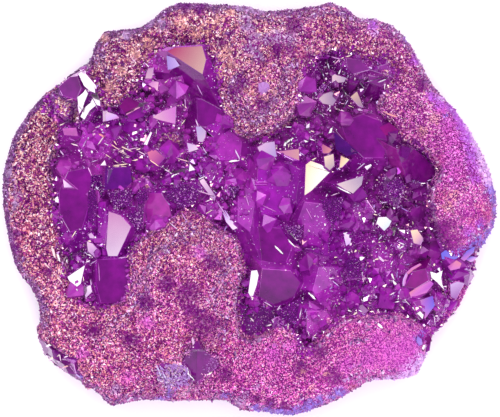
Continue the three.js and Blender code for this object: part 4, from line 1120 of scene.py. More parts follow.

# %% [markdown]
# ## Blades and chips that catch a lamp
# Most of the sparkle comes from thin blades and chips whose flat side happens to mirror a lamp. The plain
# ones are scattered; those that the eye goes to first are placed one by one, from one end to the other.

# %% Blades placed one by one
BLADES = [  # from, to, width on the plan, colour shown, lamp
    (161, 192, 177, 191.5, 1.5, (244, 224, 240), "key"), (182, 181, 196, 179, 1.2, (236, 214, 236), "key"),
    (92.5, 148, 94, 155, 1.6, WHITE, "key"), (110, 167, 129, 164, 1.3, (250, 226, 196), "warm"),
    (146, 166, 158, 167, 1.6, (250, 236, 206), "warm"), (228, 162, 240, 160.5, 1.8, WHITE, "key"),
    (235, 150, 240, 160, 1.2, (220, 200, 236), "lilac"), (197, 85, 203, 97, 0.9, (190, 140, 204), "lilac"),
    (192, 100, 189, 106, 1.8, WHITE, "key"), (185, 93, 186, 108, 0.9, (200, 150, 210), "lilac"),
    (188, 90, 190, 97, 1.3, (240, 226, 246), "key"), (181, 100, 184, 107, 1.1, (250, 226, 210), "warm"),
    (305, 122, 312, 143, 1.0, (220, 176, 214), "lilac"), (284, 140, 292, 149, 1.4, (236, 200, 224), "key"),
    (307, 290, 315, 299, 2.2, WHITE, "key"), (86, 252, 93, 256, 1.8, WHITE, "key"),
    (96, 186, 100, 190, 1.4, (226, 214, 246), "key"), (99, 146, 106, 136, 1.1, (240, 210, 226), "key"),
    (112, 130, 124, 141, 1.0, (226, 180, 214), "lilac"), (118, 145, 133, 152, 1.2, (246, 214, 196), "warm"),
    (104, 152, 122, 149, 1.0, (230, 190, 220), "key"), (124, 124, 130, 137, 1.3, (240, 226, 246), "key"),
    (130, 186, 136, 176, 1.3, (196, 170, 220), "lilac"), (136, 180, 133, 192, 1.0, (190, 150, 214), "lilac"),
    (144, 176, 156, 184, 1.1, (206, 160, 216), "lilac"), (163, 168, 175, 176, 1.2, (240, 216, 236), "key"),
    (199, 207, 205, 213, 1.2, (214, 170, 220), "key"), (206, 218, 222, 234, 1.2, (196, 150, 214), "lilac"),
    (216, 188, 222, 178, 1.3, (196, 176, 226), "lilac"), (224, 170, 236, 168, 1.0, (230, 206, 236), "key"),
    (60, 150, 66, 158, 1.4, (206, 170, 216), "lilac"), (72, 144, 82, 147, 1.2, (240, 216, 226), "key"),
    (46, 175, 52, 182, 1.2, (226, 190, 226), "key"), (66, 164, 72, 171, 1.2, (226, 200, 236), "key"),
    (150, 222, 163, 215, 1.0, (226, 130, 220), "lilac"), (60, 236, 64, 246, 1.2, (214, 170, 224), "key"),
    (118, 258, 131, 256, 1.0, (206, 150, 214), "lilac"), (100, 262, 101, 286, 0.8, (190, 120, 196), "lilac"),
    (274, 245, 283, 254, 1.6, WHITE, "key"), (284, 236, 295, 247, 1.5, (250, 244, 250), "key"),
    (246, 196, 250, 210, 0.9, (200, 140, 206), "lilac"), (262, 205, 276, 212, 0.8, (190, 110, 196), "lilac"),
    (304, 205, 312, 220, 0.8, (196, 120, 200), "lilac"), (330, 196, 341, 192, 0.9, (214, 170, 214), "key"),
    (336, 187, 350, 194, 1.5, WHITE, "key"), (356, 170, 368, 160, 0.9, (214, 190, 226), "key"),
    (316, 158, 309, 162, 1.0, (252, 236, 206), "warm"), (330, 143, 336, 146, 1.0, (236, 190, 196), "warm"),
    (346, 262, 357, 256, 1.2, (236, 226, 244), "key"), (359, 262, 362, 277, 1.0, (206, 170, 220), "key"),
    (276, 312, 283, 300, 1.0, (226, 196, 230), "key"), (303, 296, 299, 318, 1.1, (240, 226, 244), "key"),
    (318, 262, 326, 270, 1.0, (214, 170, 214), "lilac"), (296, 264, 304, 270, 1.3, (236, 214, 240), "key"),
    (262, 300, 272, 306, 1.1, (214, 180, 220), "key"), (246, 312, 254, 322, 1.5, (240, 214, 226), "key"),
    (266, 326, 278, 321, 1.3, (246, 226, 236), "key"), (340, 306, 352, 312, 1.4, (246, 236, 240), "key"),
    (352, 318, 340, 324, 1.3, (236, 196, 226), "key"), (360, 296, 366, 306, 1.5, WHITE, "key"),
    (376, 322, 381, 327, 2.6, WHITE, "key"), (432, 300, 434, 326, 0.9, (226, 200, 236), "key"),
    (420, 190, 424, 214, 0.9, (196, 110, 196), "lilac"), (426, 180, 430, 200, 0.9, (200, 140, 206), "lilac"),
    (416, 196, 415, 214, 0.8, (190, 110, 196), "lilac"), (398, 150, 404, 160, 0.9, (206, 150, 206), "lilac"),
    (378, 166, 388, 172, 1.0, (206, 170, 214), "key"), (374, 213, 372, 226, 1.0, (240, 226, 244), "key"),
    (384, 232, 378, 240, 1.2, (206, 196, 226), "lilac"), (394, 228, 402, 236, 1.2, WHITE, "key"),
    (309, 84, 313, 96, 1.3, (214, 150, 206), "lilac"), (314, 77, 312, 104, 0.8, (206, 160, 206), "key"),
    (346, 86, 352, 94, 1.4, (236, 200, 226), "key"), (340, 100, 346, 92, 1.1, (206, 180, 214), "lilac"),
    (332, 108, 344, 112, 1.3, (236, 206, 226), "key"), (364, 108, 372, 98, 1.0, (206, 160, 206), "lilac"),
    (384, 114, 396, 118, 1.6, (240, 170, 160), "warm"), (374, 62, 384, 72, 1.0, (180, 110, 190), "lilac"),
    (330, 58, 345, 62, 1.0, (196, 140, 200), "lilac"), (316, 112, 330, 116, 1.0, (196, 130, 196), "lilac"),
    (412, 307, 421, 317, 2.6, WHITE, "key"), (409, 318, 415, 321, 2.6, (250, 220, 190), "warm"),
    (431, 292, 430, 306, 2.2, WHITE, "key"), (425, 285, 431, 278, 2.0, (246, 226, 246), "key"),
    (446, 268, 452, 276, 1.4, (236, 196, 240), "key"), (388, 266, 394, 280, 1.8, (250, 240, 246), "key"),
    (392, 280, 400, 290, 2.2, WHITE, "key"), (372, 268, 380, 276, 2.4, (246, 206, 196), "warm"),
    (378, 256, 384, 262, 2.2, (226, 196, 236), "lilac"), (364, 300, 372, 292, 1.6, WHITE, "key"),
    (382, 300, 378, 310, 1.8, (246, 236, 250), "key"), (398, 300, 404, 310, 1.8, (250, 226, 206), "warm"),
    (446, 318, 456, 312, 1.4, (244, 220, 240), "key"), (98, 133, 111, 141, 1.6, (240, 150, 150), "warm"),
    (101, 137, 121, 151, 0.9, (246, 190, 176), "warm"), (104, 140, 128, 155, 0.9, (246, 222, 226), "key"),
    (110, 147, 131, 157, 0.8, (240, 196, 206), "key"), (98, 149, 113, 159, 0.9, (246, 206, 190), "warm"),
    (116, 158, 132, 157, 1.0, (252, 240, 230), "key"), (132, 161, 147, 158, 1.2, (250, 226, 196), "warm"),
    (138, 151, 150, 157, 0.9, (236, 200, 226), "key"), (150, 160, 160, 167, 1.0, (246, 206, 176), "warm"),
    (106, 155, 120, 164, 0.8, (236, 190, 206), "key"), (126, 150, 143, 147, 0.8, (230, 190, 220), "key"),
    (112, 137, 118, 146, 1.2, (240, 190, 180), "warm"), (187, 168, 190, 178, 1.2, (236, 206, 236), "key"),
    (172, 176, 184, 173, 1.6, WHITE, "key"), (196, 120, 199, 128, 1.0, (226, 196, 236), "lilac"),
    (202, 146, 212, 162, 1.0, (206, 170, 220), "lilac"), (216, 200, 232, 224, 0.9, (206, 160, 220), "lilac"),
    (240, 168, 246, 176, 1.2, (236, 214, 240), "key"), (182, 212, 190, 226, 0.9, (206, 150, 214), "lilac"),
    (170, 222, 182, 232, 1.0, (226, 196, 236), "key"), (196, 190, 214, 196, 0.9, (226, 180, 220), "key"),
    (176, 158, 196, 164, 0.9, (236, 190, 190), "warm"), (68, 102, 82, 99, 0.9, (216, 160, 190), "lilac"),
    (56, 128, 66, 124, 1.2, (246, 226, 216), "key"), (55, 88, 61, 92, 1.4, (236, 190, 170), "warm"),
    (66, 80, 74, 88, 0.9, (216, 190, 200), "lilac"), (157, 360, 163, 375, 1.5, (200, 196, 236), "lilac"),
    (160, 360, 168, 378, 1.0, (214, 206, 240), "lilac"), (187, 362, 190, 373, 1.6, (246, 240, 252), "key"),
    (184, 366, 194, 376, 1.4, (236, 230, 250), "key"), (191, 373, 195, 378, 1.5, WHITE, "key"),
    (166, 376, 176, 384, 1.1, (190, 180, 230), "lilac"), (209, 372, 213, 369, 1.8, (252, 236, 226), "key"),
    (193.5, 334, 195.5, 345, 2.4, (214, 180, 214), "lilac"), (67, 252, 68, 268, 1.2, WHITE, "key"),
    (71, 251, 73, 266, 1.4, (226, 214, 236), "key"), (74, 282, 80, 290, 1.2, WHITE, "key"),
    (80, 290, 86, 297, 1.0, (246, 236, 250), "key"), (92, 278, 93, 292, 0.9, (226, 190, 236), "lilac"),
    (53, 243, 57, 258, 2.4, (246, 220, 216), "warm"), (58, 250, 62, 262, 1.8, WHITE, "key"),
    (46, 262, 52, 268, 1.4, (240, 200, 200), "warm"), (62, 268, 66, 276, 1.6, (250, 236, 226), "key"),
    (58, 276, 64, 282, 1.4, (246, 214, 206), "warm"), (286, 228, 297, 241, 1.3, WHITE, "key"),
    (343, 262, 353, 256, 1.3, (250, 236, 250), "key"), (318, 66, 324, 78, 1.1, (200, 190, 226), "lilac"),
    (326, 60, 330, 74, 0.9, (214, 206, 230), "key"), (330, 76, 336, 88, 1.0, (214, 206, 230), "key"),
    (312, 90, 322, 104, 0.9, (190, 184, 214), "lilac"), (338, 84, 346, 96, 1.0, (226, 226, 236), "key"),
    (345, 92, 352, 88, 1.1, (226, 226, 236), "key"), (350, 96, 342, 110, 0.9, (190, 170, 214), "lilac"),
    (356, 82, 368, 79, 1.2, (226, 216, 236), "key"), (333, 104, 326, 112, 1.0, (206, 190, 226), "lilac"),
    (316, 108, 324, 118, 0.9, (214, 196, 226), "key"), (322, 68, 334, 66, 0.8, (200, 180, 220), "lilac"),
    (340, 70, 336, 80, 1.2, (226, 226, 236), "key"), (346, 76, 354, 84, 1.0, (206, 200, 226), "lilac"),
    (328, 90, 318, 86, 1.3, (236, 230, 240), "key"), (306, 96, 301, 110, 1.0, (190, 160, 210), "lilac"),
    (304, 112, 310, 120, 1.1, (214, 190, 226), "key"), (362, 84, 382, 79, 0.8, (206, 180, 216), "key"),
    (376, 84, 386, 80, 1.4, (214, 200, 220), "key"), (347, 309, 351, 303, 1.6, WHITE, "key"),
    (352, 316, 358, 311, 1.4, (250, 232, 206), "warm"), (343, 300, 349, 304, 1.2, (240, 226, 240), "key"),
    (354, 304, 357, 298, 1.4, (244, 224, 240), "key"), (133, 81.5, 135, 81.5, 2.4, WHITE, "key"),
    (137, 81.5, 139.5, 81.5, 2.8, WHITE, "key"), (51, 358, 62, 353, 1.8, (252, 240, 214), "key"),
    (48, 345, 56, 342, 2.2, WHITE, "key"), (53, 363, 58, 366, 2.2, WHITE, "key"),
    (64, 366, 74, 363, 1.5, (226, 170, 170), "warm"), (60, 348, 63, 360, 1.3, (236, 196, 226), "key"),
    (44, 352, 48, 358, 2.0, (246, 236, 250), "key"), (76, 372, 84, 378, 1.4, (196, 170, 230), "lilac"),
    (66, 356, 72, 353, 1.3, (240, 214, 236), "key"),
]
BLADE_DEPTH = 0.7 * MM
PLACED_LIFT = 0.42 * MM
TREMBLE = 0.04
BLADE_RIM = [(0, 0.3), (0.3, 1.0), (0.75, 0.9), (1.0, 0.2), (0.8, -0.8), (0.25, -1.0)]  # along and across
UNLIT_TILT = np.array([0.1, -0.12, 1.0])  # mirrors the dim sky between the lamps


def top_of(x, y):
    """The highest crystal or rock under a place on the plan."""
    hits = [below(tree, x, y)[0] for tree in (*trees.values(), rock_tree)]
    return max((hit.z for hit in hits if hit is not None), default=None)


def tilted(outline, lamp, lift, depth, tremble):
    """Corners of a slab over an outline on the plan, its top turned so that it mirrors a lamp."""
    x, y = np.mean(outline, axis=0)
    heights = [top_of(*(corner * 0.8 + np.array([x, y]) * 0.2)) for corner in np.array(outline)]
    heights = [height for height in heights if height is not None]
    if not heights:
        return None
    middle = np.array([*on_plan(x, y), sum(heights) / len(heights) + lift])
    up = unit((UNLIT_TILT if lamp is None else halfway(lamp, middle) + tremble)[None])[0]
    top = np.array([[*on_plan(*corner), 0] for corner in outline])
    top[:, 2] = middle[2] - (top[:, :2] - middle[:2]) @ up[:2] / up[2]
    return [*top, *(top - up * depth)]


def walls(start, sides):
    """Faces of a slab whose top corners come first: its top, then the walls around it."""
    ring = [(start + side, start + (side + 1) % sides) for side in range(sides)]
    return [tuple(range(start, start + sides))] + [(a, a + sides, b + sides, b) for a, b in ring]


def blades_from(rows, lift, rng):
    """Corners, faces, colours and finishes of many thin blades with narrow ends."""
    corners, faces, tints, finish = [], [], [], []
    for x0, y0, x1, y1, width, shown, lamp in rows:
        start, along = np.array([x0, y0]), np.array([x1 - x0, y1 - y0])
        across = np.array([-along[1], along[0]]) / np.hypot(*along) * width / 2
        outline = [start + along * a - across * b for a, b in BLADE_RIM]
        body = tilted(outline, lamp, lift, BLADE_DEPTH, TREMBLE * rng.normal(size=3))
        if body is None:
            continue
        sides = len(BLADE_RIM)
        faces += walls(len(corners), sides)
        corners += body
        tints += [film_for(shown, lamp)] + [QUARTZ_COLOURS[rng.integers(len(QUARTZ_COLOURS))]] * sides
        finish += [FILM] + [GLASS] * sides
    return np.array(corners), faces, np.array(tints), np.array(finish)


WRINKLES = 230
WRINKLED = (174, 372, 16, 12)  # middle, half width and half height on the plan
WRINKLE_COLOURS = [
    (188, 166, 170), (190, 146, 178), (170, 122, 192), (172, 136, 202), (214, 196, 222), (150, 80, 156),
]


def wrinkles(rng):
    """Short low ridges that run one way over the knob's crinkled foot, greyer at its top."""
    x, y, wide, high = WRINKLED
    rows = []
    for _ in range(WRINKLES):
        turn, out = 2 * math.pi * rng.random(), math.sqrt(rng.random())
        across, down = x + wide * out * math.cos(turn), y + high * out * math.sin(turn)
        lean, length = 0.9 + 0.7 * rng.normal(), rng.uniform(2, 6)
        pick = np.clip(0.5 + (down - y) / high / 3 + 0.4 * (rng.random() - 0.5), 0, 0.99)
        shown = WRINKLE_COLOURS[int(len(WRINKLE_COLOURS) * (pick + rng.random()) / 2)]
        ends = across, down, across + length * math.cos(lean), down + length * math.sin(lean)
        rows.append((*ends, rng.uniform(1.0, 2.8), shown, ("key", "warm", "lilac")[rng.integers(3)]))
    return rows


piece_from("placed_blades", "glassy_quartz", *blades_from(BLADES + wrinkles(rng), PLACED_LIFT, rng))

# %% [markdown]
# ## Facets placed one by one
# The brightest and the darkest faces of the hollow carry its pattern, so each is a slab of its own: an
# outline on the plan, a colour at every corner and the lamp that it mirrors. A slab with no lamp is turned
# to the dim sky instead and shows the colour of its glass. It is set higher, so that no small point hides
# it.

# %% Facets placed one by one, each a slab with a colour at every corner
PANEL_DEPTH = 1.8 * MM
PANEL_LIFT = 0.9 * MM
UNLIT_LIFT = PANEL_LIFT * 1.7
ROSE, LILAC, BLUE, PEACH = (204, 118, 196), (206, 172, 232), (110, 104, 216), (214, 132, 160)
DARK_ROSE = (130, 6, 120)
PANELS = [  # outline and colours on the plan, lamp
    ([(81, 76), (84, 74), (90, 80), (97, 88), (98, 95), (93, 93), (87, 88)], [WHITE] * 7, "key"),
    ([(96, 95), (99, 100), (98, 107), (92, 112), (87, 121), (83, 118), (87, 109), (93, 104)],
     [WHITE] * 8, "key"),
    ([(80, 99), (85, 95), (88, 91), (91, 94), (87, 104), (85, 111), (81, 107)], [WHITE] * 7, "key"),
    ([(408, 292), (427, 279), (432, 283), (425, 292), (410, 297)],
     [PEACH, ROSE, (176, 80, 196), ROSE, ROSE], "lilac"),
    ([(411, 302), (431, 295), (433, 305), (424, 318), (414, 311)],
     [PEACH, (120, 84, 206), BLUE, ROSE, ROSE], "lilac"),
    ([(411, 307), (414, 305), (422, 314), (421, 318)], [WHITE] * 4, "key"),
    ([(121, 108), (129, 98), (141, 104), (139, 108), (127, 114)], [DARK_ROSE] * 5, None),
    ([(126, 115), (140, 108), (147, 106), (145, 117), (133, 121)], [(150, 26, 160)] * 5, None),
    ([(127, 114.5), (140.5, 107), (141, 108.5), (128, 116)], [(224, 150, 190)] * 4, "warm"),
    ([(401, 290), (402, 279), (405, 272), (407, 274), (405, 280), (404, 290)],
     [LILAC] * 3 + [ROSE] * 3, "lilac"),
    ([(405, 272), (411, 267), (419, 263), (421, 265), (412, 270), (407, 274)],
     [ROSE] * 3 + [PEACH] * 3, "warm"),
    ([(429, 271), (435, 273), (441, 270), (439, 279), (442, 289), (436, 282), (430, 277)],
     [WHITE] * 7, "key"),
    ([(447, 279), (452, 274), (459, 272), (459, 278), (450, 282)], [LILAC] * 5, "lilac"),
    ([(440, 253), (444, 250), (456, 251), (459, 256), (454, 259), (441, 259)],
     [BLUE, BLUE, (136, 120, 214), (146, 126, 214), BLUE, BLUE], "lilac"),
    ([(457, 261), (466, 250), (473, 246), (472, 252), (461, 263)],
     [(190, 110, 180), BLUE, BLUE, (150, 130, 214), ROSE], "lilac"),
    ([(460, 262), (470, 256), (476, 257), (472, 261), (461, 265)],
     [ROSE, BLUE, LILAC, LILAC, ROSE], "lilac"),
    ([(446, 266), (455, 260), (460, 263), (458, 268), (449, 270)],
     [(176, 60, 170), PEACH, PEACH, ROSE, ROSE], "warm"),
    ([(460, 265), (464, 266), (469, 272), (464, 271)], [PEACH, BLUE, LILAC, BLUE], "lilac"),
    ([(333, 133), (345, 142), (357, 153), (346, 157), (335, 150)],
     [(74, 4, 118), (94, 10, 128)] * 2 + [(68, 2, 108)], None),
    ([(107, 168), (131, 167), (133, 182), (127, 188), (106, 190)],
     [(104, 8, 138), (120, 14, 146)] * 2 + [(100, 6, 130)], None),
    ([(378, 128), (388, 123), (397, 131), (393, 137), (384, 136)],
     [(150, 8, 132), (130, 4, 120)] * 2 + [(160, 20, 130)], None),
    ([(386, 135), (393, 136.5), (398, 130), (399, 132), (394, 139)], [(232, 160, 130)] * 5, "warm"),
    ([(303, 139), (305, 134), (310, 132), (309, 137), (308, 142), (305, 143)], [WHITE] * 6, "key"),
    ([(305, 131), (306, 126), (309, 124), (309, 130)], [(214, 190, 232), LILAC, WHITE, LILAC], "lilac"),
    ([(283, 148), (284, 142), (289, 139), (290, 141), (286, 144), (285, 149)], [WHITE] * 6, "key"),
    ([(290, 139.5), (294, 138), (295, 140), (291, 141.5)], [WHITE] * 4, "key"),
    ([(328, 134), (330, 129), (332, 128), (331, 133)], [WHITE] * 4, "key"),
    ([(388, 133), (397, 131), (396, 142), (389, 142)], [(118, 14, 126)] * 4, None),
    ([(399, 147), (409, 149), (405, 160), (399, 158)], [(112, 12, 124)] * 4, None),
    ([(393, 168), (398, 168), (400, 172), (396, 176), (392, 173)], [(206, 84, 222)] * 5, "lilac"),
    ([(353, 260), (360, 256), (364, 257), (361, 260)], [WHITE] * 4, "key"),
    ([(343, 233), (352, 231), (350, 243), (346, 246)], [(226, 206, 240), WHITE, LILAC, LILAC], "lilac"),
    ([(390, 226), (396, 228), (393, 236), (388, 231)], [WHITE] * 4, "key"),
    ([(168, 58), (176, 61), (181, 68), (174, 71), (169, 72)],
     [(150, 130, 200), (178, 156, 214), (186, 164, 220), (140, 90, 190), (160, 130, 206)], "lilac"),
    ([(416, 335), (420, 338), (421, 343), (418, 345), (415, 340)],
     [(142, 116, 208), (150, 120, 214), (176, 140, 220), (150, 100, 206), (142, 116, 208)], "lilac"),
    ([(424, 337), (429, 335), (431, 340), (427, 344), (423, 342)], [DARK_ROSE] * 5, None),
    ([(426, 346), (430, 342), (429, 350), (425, 352)], [(150, 26, 160)] * 4, None),
    ([(419, 347), (424, 348), (423, 354), (418, 351)], [ROSE, PEACH, ROSE, ROSE], "warm"),
    ([(422, 344), (424, 343.5), (422, 349), (420.5, 347)], [WHITE] * 4, "key"),
    ([(107, 116), (109, 113), (118, 116), (121, 119), (108, 122)],
     [LILAC, (214, 190, 206), LILAC, ROSE, LILAC], "lilac"),
]


def panels(rows):
    """All placed facets in one mesh, their colours stored corner by corner."""
    shape = bmesh.new()
    tint = shape.loops.layers.float_color.new("tint")
    for outline, colours, lamp in rows:
        body = tilted(outline, lamp, UNLIT_LIFT if lamp is None else PANEL_LIFT, PANEL_DEPTH, 0)
        corners = [shape.verts.new(np.clip(corner, BOX_LOW, BOX_HIGH)) for corner in body]
        for number, ring in enumerate(walls(0, len(outline))):
            face = shape.faces.new([corners[index] for index in ring])
            face.material_index = FILM if number == 0 and lamp is not None else GLASS
            for loop, index in zip(face.loops, ring):
                colour = QUARTZ_COLOURS[0]
                if number == 0:
                    colour = mixed(*colours[index]) if lamp is None else film_for(colours[index], lamp)
                loop[tint] = (*colour, 1)
    bmesh.ops.recalc_face_normals(shape, faces=shape.faces)
    return shape


crystal_piece("placed_facets", panels(PANELS))

# %% [markdown]
# ## Frosted facets
# Some faces of the hollow are crusted all over with points too small to tell apart: a dark violet ground
# with glints. Each is a dark slab like those above, and the finest grains are scattered over its top.

# %% Frosted facets: dark slabs under a crust of tiny points
FROST_SPACING = 0.3 * MM
FROST_REACH = 0.2 * MM
SLAB_COLOUR = (98, 14, 112)
DARK_SUGAR, LILAC_SUGAR, SILVER_SUGAR = 0.1, 0.28, 0.5
FROST_BASE = palette((98, 12, 114), (120, 22, 130), (144, 42, 150), (112, 18, 132))
FROST_GLINTS = palette((190, 116, 196), (206, 150, 208), (166, 96, 190), (236, 206, 230))
FROSTED_FACETS = [  # outline, share of glints
    ([(320, 200), (343, 197), (339, 220), (331, 225), (323, 212)], DARK_SUGAR),
    ([(286, 226), (303, 225), (301, 236), (297, 241)], SILVER_SUGAR),
    ([(344, 262), (351, 256), (359, 259), (361, 270), (353, 277), (346, 273)], DARK_SUGAR),
    ([(166, 193), (180, 184), (198, 190), (196, 203), (186, 208), (173, 201)], LILAC_SUGAR),
    ([(90, 192), (97, 188), (99, 204), (96, 226), (90, 220)], DARK_SUGAR),
    ([(109, 193), (122, 190), (136, 192), (130, 206), (116, 209)], LILAC_SUGAR),
    ([(138, 193), (147, 190), (149, 199), (142, 205), (137, 200)], DARK_SUGAR),
    ([(128, 214), (141, 210), (144, 222), (141, 232), (132, 226)], LILAC_SUGAR),
    ([(275, 312), (301, 297), (303, 301), (296, 318), (291, 323)], DARK_SUGAR),
    ([(315, 92), (323, 84), (326, 88), (320, 98), (314, 100)], SILVER_SUGAR),
    ([(385, 184), (398, 178), (404, 188), (396, 198), (387, 195)], LILAC_SUGAR),
    ([(228, 186), (236, 178), (240, 188), (232, 200)], SILVER_SUGAR),
]


def slab_top(outline):
    """The top of a slab that mirrors no lamp, as a mesh of one face."""
    mesh = bpy.data.meshes.new("slab_top")
    corners = tilted(outline, None, UNLIT_LIFT, PANEL_DEPTH, 0)[:len(outline)]
    mesh.from_pydata([tuple(corner) for corner in corners], [], [list(range(len(outline)))])
    mesh.update()
    if mesh.polygons[0].normal.z < 0:
        mesh.flip_normals()
    return mesh


slab_rows = [(outline, [SLAB_COLOUR] * len(outline), None) for outline, _ in FROSTED_FACETS]
crystal_piece("frosted_slabs", panels(slab_rows))
corners, faces, tints = np.empty((0, 3)), [], np.empty((0, 3))
for outline, glints in FROSTED_FACETS:
    places, normals = scattered(slab_top(outline), FROST_SPACING, rng)
    coat = sugar_grains(places, normals, FROST_REACH, 1.3, FROST_BASE, FROST_GLINTS, glints, rng)
    faces += [tuple(len(corners) + corner for corner in face) for face in coat[1]]
    corners, tints = np.vstack([corners, coat[0]]), np.vstack([tints, coat[2]])
piece_from("frosted_sugar", "glassy_quartz", corners, faces, tints)

# %% [markdown]
# ## Scattered blades and chips
# Past the placed ones, the sparkle is chance: thousands of edges, a few of which face a lamp. Blades and
# chips are dropped over the hollow, turned any way in the plan, and tilted so that each mirrors one of the
# lamps.

# %% Scattered blades and chips
BLADE_DROPS = 2700
CHIP_DROPS = 2100
THIN_LIFT, CHIP_LIFT = 0.34 * MM, 0.4 * MM
SHORTEST = 1.5
SPARKLING = [
    (392, 312, 9), (346, 318, 8), (386, 262, 16), (374, 300, 18), (400, 294, 14), (360, 318, 12),
    (446, 296, 12), (92, 130, 12), (150, 150, 14),
]
SHOWN_COLOURS = [
    WHITE, (244, 222, 240), (252, 232, 210), (206, 176, 226), (226, 160, 206), (176, 130, 206),
    (190, 100, 196), (160, 120, 200),
]


def rows_at(places, longest, widths, rng):
    """Blades of any length and direction at some places, each with a colour and a lamp to mirror."""
    rows = []
    for place in places:
        x, y = place[0] / PLAN_UNIT + PLAN_WIDTH / 2, PLAN_HEIGHT / 2 - place[1] / PLAN_UNIT
        turn, length = 2 * math.pi * rng.random(), SHORTEST + longest * rng.random() ** 2
        across, down = length * math.cos(turn) / 2, length * math.sin(turn) / 2
        shown = SHOWN_COLOURS[int(len(SHOWN_COLOURS) * rng.random() ** 1.3)]
        lamp = ("key", "key", "warm", "lilac")[rng.integers(4)]
        rows.append((x - across, y - down, x + across, y + down, rng.uniform(*widths), shown, lamp))
    return rows


def scattered_rows(count, longest, widths, crowding, rng):
    """Blades dropped into the hollow, thickest where it is crowded."""
    return rows_at(dropped(over_hollow(count, rng), rng, crowding)[0], longest, widths, rng)


def sparkling(places):
    """Where the chips lie thickest, at the lower right."""
    return np.clip(0.7 * busyness(places) + nearness(places, SPARKLING), 0, 1) * clearing(places)


rows = scattered_rows(BLADE_DROPS, 12, (0.5, 1.1), crowded, rng)
piece_from("thin_blades", "glassy_quartz", *blades_from(rows, THIN_LIFT, rng))
rows = scattered_rows(CHIP_DROPS, 3.4, (0.8, 2.2), sparkling, rng)
piece_from("chips", "glassy_quartz", *blades_from(rows, CHIP_LIFT, rng))

# %% [markdown]
# ## The lip of the hollow
# Between the glassy crystals and the druse there is no line: the grains grow from sugar to rice to points. A
# belt of points a little larger than the grains stands on both sides of the seam and hides it, with chips
# among them where the hollow is busy. The nub is one longer point that sticks out of the lower edge.

# %% Points along the seam
LIP_SPACING = 0.8 * MM
LIP_WIDTH = 1.5 * MM
LIP_BOTTOM = 9 * MM
SEAM_BUSY, SEAM_SHARE = 0.42, 0.4
places, normals = scattered(rock_mesh, LIP_SPACING, rng)
hollow_tree = tree_of(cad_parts["hollow_crystals"].data)
near_crust = distances(hollow_tree, places, 2 * LIP_WIDTH) < LIP_WIDTH * (1 + 0.8 * cloud(places, 5 * MM))
shown = near_crust & (places[:, 2] > LIP_BOTTOM) & in_the_open(places)
places, normals = places[shown], normals[shown]
reach = MM * (0.24 + 0.34 * rng.random(len(places)) ** 1.5)
heights = reach * (1.2 + 1.3 * rng.random(len(places)))
axes = leaned(unit(normals + [0, 0, 0.5]), 0.7, rng)
points_piece("lip_points", "drusy_rock", places, axes, reach, heights, 0.7, rng)
seam = places[(busyness(places) > SEAM_BUSY) & (rng.random(len(places)) < SEAM_SHARE)]
piece_from("seam_chips", "drusy_rock", *blades_from(rows_at(seam, 4, (0.9, 2.2), rng), THIN_LIFT, rng))

# %% The nub on the lower edge
NUB_REACH, NUB_HEIGHT, NUB_LEVEL = 0.7 * MM, 1.7 * MM, 5 * MM
place, axis = np.array([[*on_plan(211, 398), NUB_LEVEL]]), unit(np.array([[0.05, -1.0, 0.2]]))
points_piece("nub", "drusy_rock", place, axis, np.array([NUB_REACH]), np.array([NUB_HEIGHT]), 0, rng)

# %% [markdown]
# ## An effect that every finish shares
# The film is never even: its colour drifts in soft clouds over grain and glass alike. One node group holds
# these clouds. Its scale, contrast and two colours are inputs, so that every material sets its own, and it
# gives back a colour.

# %% A node group: mottling


def node(tree, kind, **settings):
    """A new node with some of its settings."""
    made = tree.nodes.new(kind)
    for key, value in settings.items():
        setattr(made, key, value)
    return made


mottling = bpy.data.node_groups.new("mottling", "ShaderNodeTree")
for name, kind, default in (
    ("Scale", "NodeSocketFloat", 200.0),
    ("Contrast", "NodeSocketFloat", 1.0),
    ("First", "NodeSocketColor", (0, 0, 0, 1)),
    ("Second", "NodeSocketColor", (1, 1, 1, 1)),
):
    mottling.interface.new_socket(name=name, in_out="INPUT", socket_type=kind).default_value = default
mottling.interface.new_socket(name="Colour", in_out="OUTPUT", socket_type="NodeSocketColor")
start, end = node(mottling, "NodeGroupInput"), node(mottling, "NodeGroupOutput")
place = node(mottling, "ShaderNodeTexCoord")
clouds = node(mottling, "ShaderNodeTexNoise")
clouds.inputs["Detail"].default_value = 4
centred = node(mottling, "ShaderNodeMath", operation="SUBTRACT")
centred.inputs[1].default_value = 0.5
spread = node(mottling, "ShaderNodeMath", operation="MULTIPLY_ADD", use_clamp=True)
spread.inputs[2].default_value = 0.5
blend = node(mottling, "ShaderNodeMix", data_type="RGBA")
for source, target in (
    (place.outputs["Object"], clouds.inputs["Vector"]),
    (start.outputs["Scale"], clouds.inputs["Scale"]),
    (clouds.outputs["Fac"], centred.inputs[0]),
    (centred.outputs[0], spread.inputs[0]),
    (start.outputs["Contrast"], spread.inputs[1]),
    (spread.outputs[0], blend.inputs["Factor"]),
    (start.outputs["First"], blend.inputs["A"]),
    (start.outputs["Second"], blend.inputs["B"]),
    (blend.outputs["Result"], end.inputs["Colour"]),
):
    mottling.links.new(source, target)
print("node group:", mottling.name, "with", len(mottling.nodes), "nodes")

# %% Tools for writing a finish


def new_finish(name, **numbers):
    """A material, its nodes and its shader; the numbers stand on the shader's own sockets."""
    made = bpy.data.materials.new(name)
    made.use_nodes = True
    shader = made.node_tree.nodes["Principled BSDF"]
    for key, value in numbers.items():
        shader.inputs[key.replace("_", " ")].default_value = value
    return made, made.node_tree, shader


def mottled(tree, scale, contrast, first, second):
    """Soft clouds of two colours."""
    made = node(tree, "ShaderNodeGroup", node_tree=mottling)
    values = {"Scale": scale, "Contrast": contrast, "First": (*first, 1), "Second": (*second, 1)}
    for key, value in values.items():
        made.inputs[key].default_value = value
    return made.outputs["Colour"]


def blended(tree, mode, first, second, factor=1.0):
    """A colour mix; each input is a colour or another node's output."""
    mix = node(tree, "ShaderNodeMix", data_type="RGBA", blend_type=mode)
    for key, value in (("Factor", factor), ("A", first), ("B", second)):
        if isinstance(value, bpy.types.NodeSocket):
            tree.links.new(value, mix.inputs[key])
        else:
            mix.inputs[key].default_value = value
    return mix.outputs["Result"]


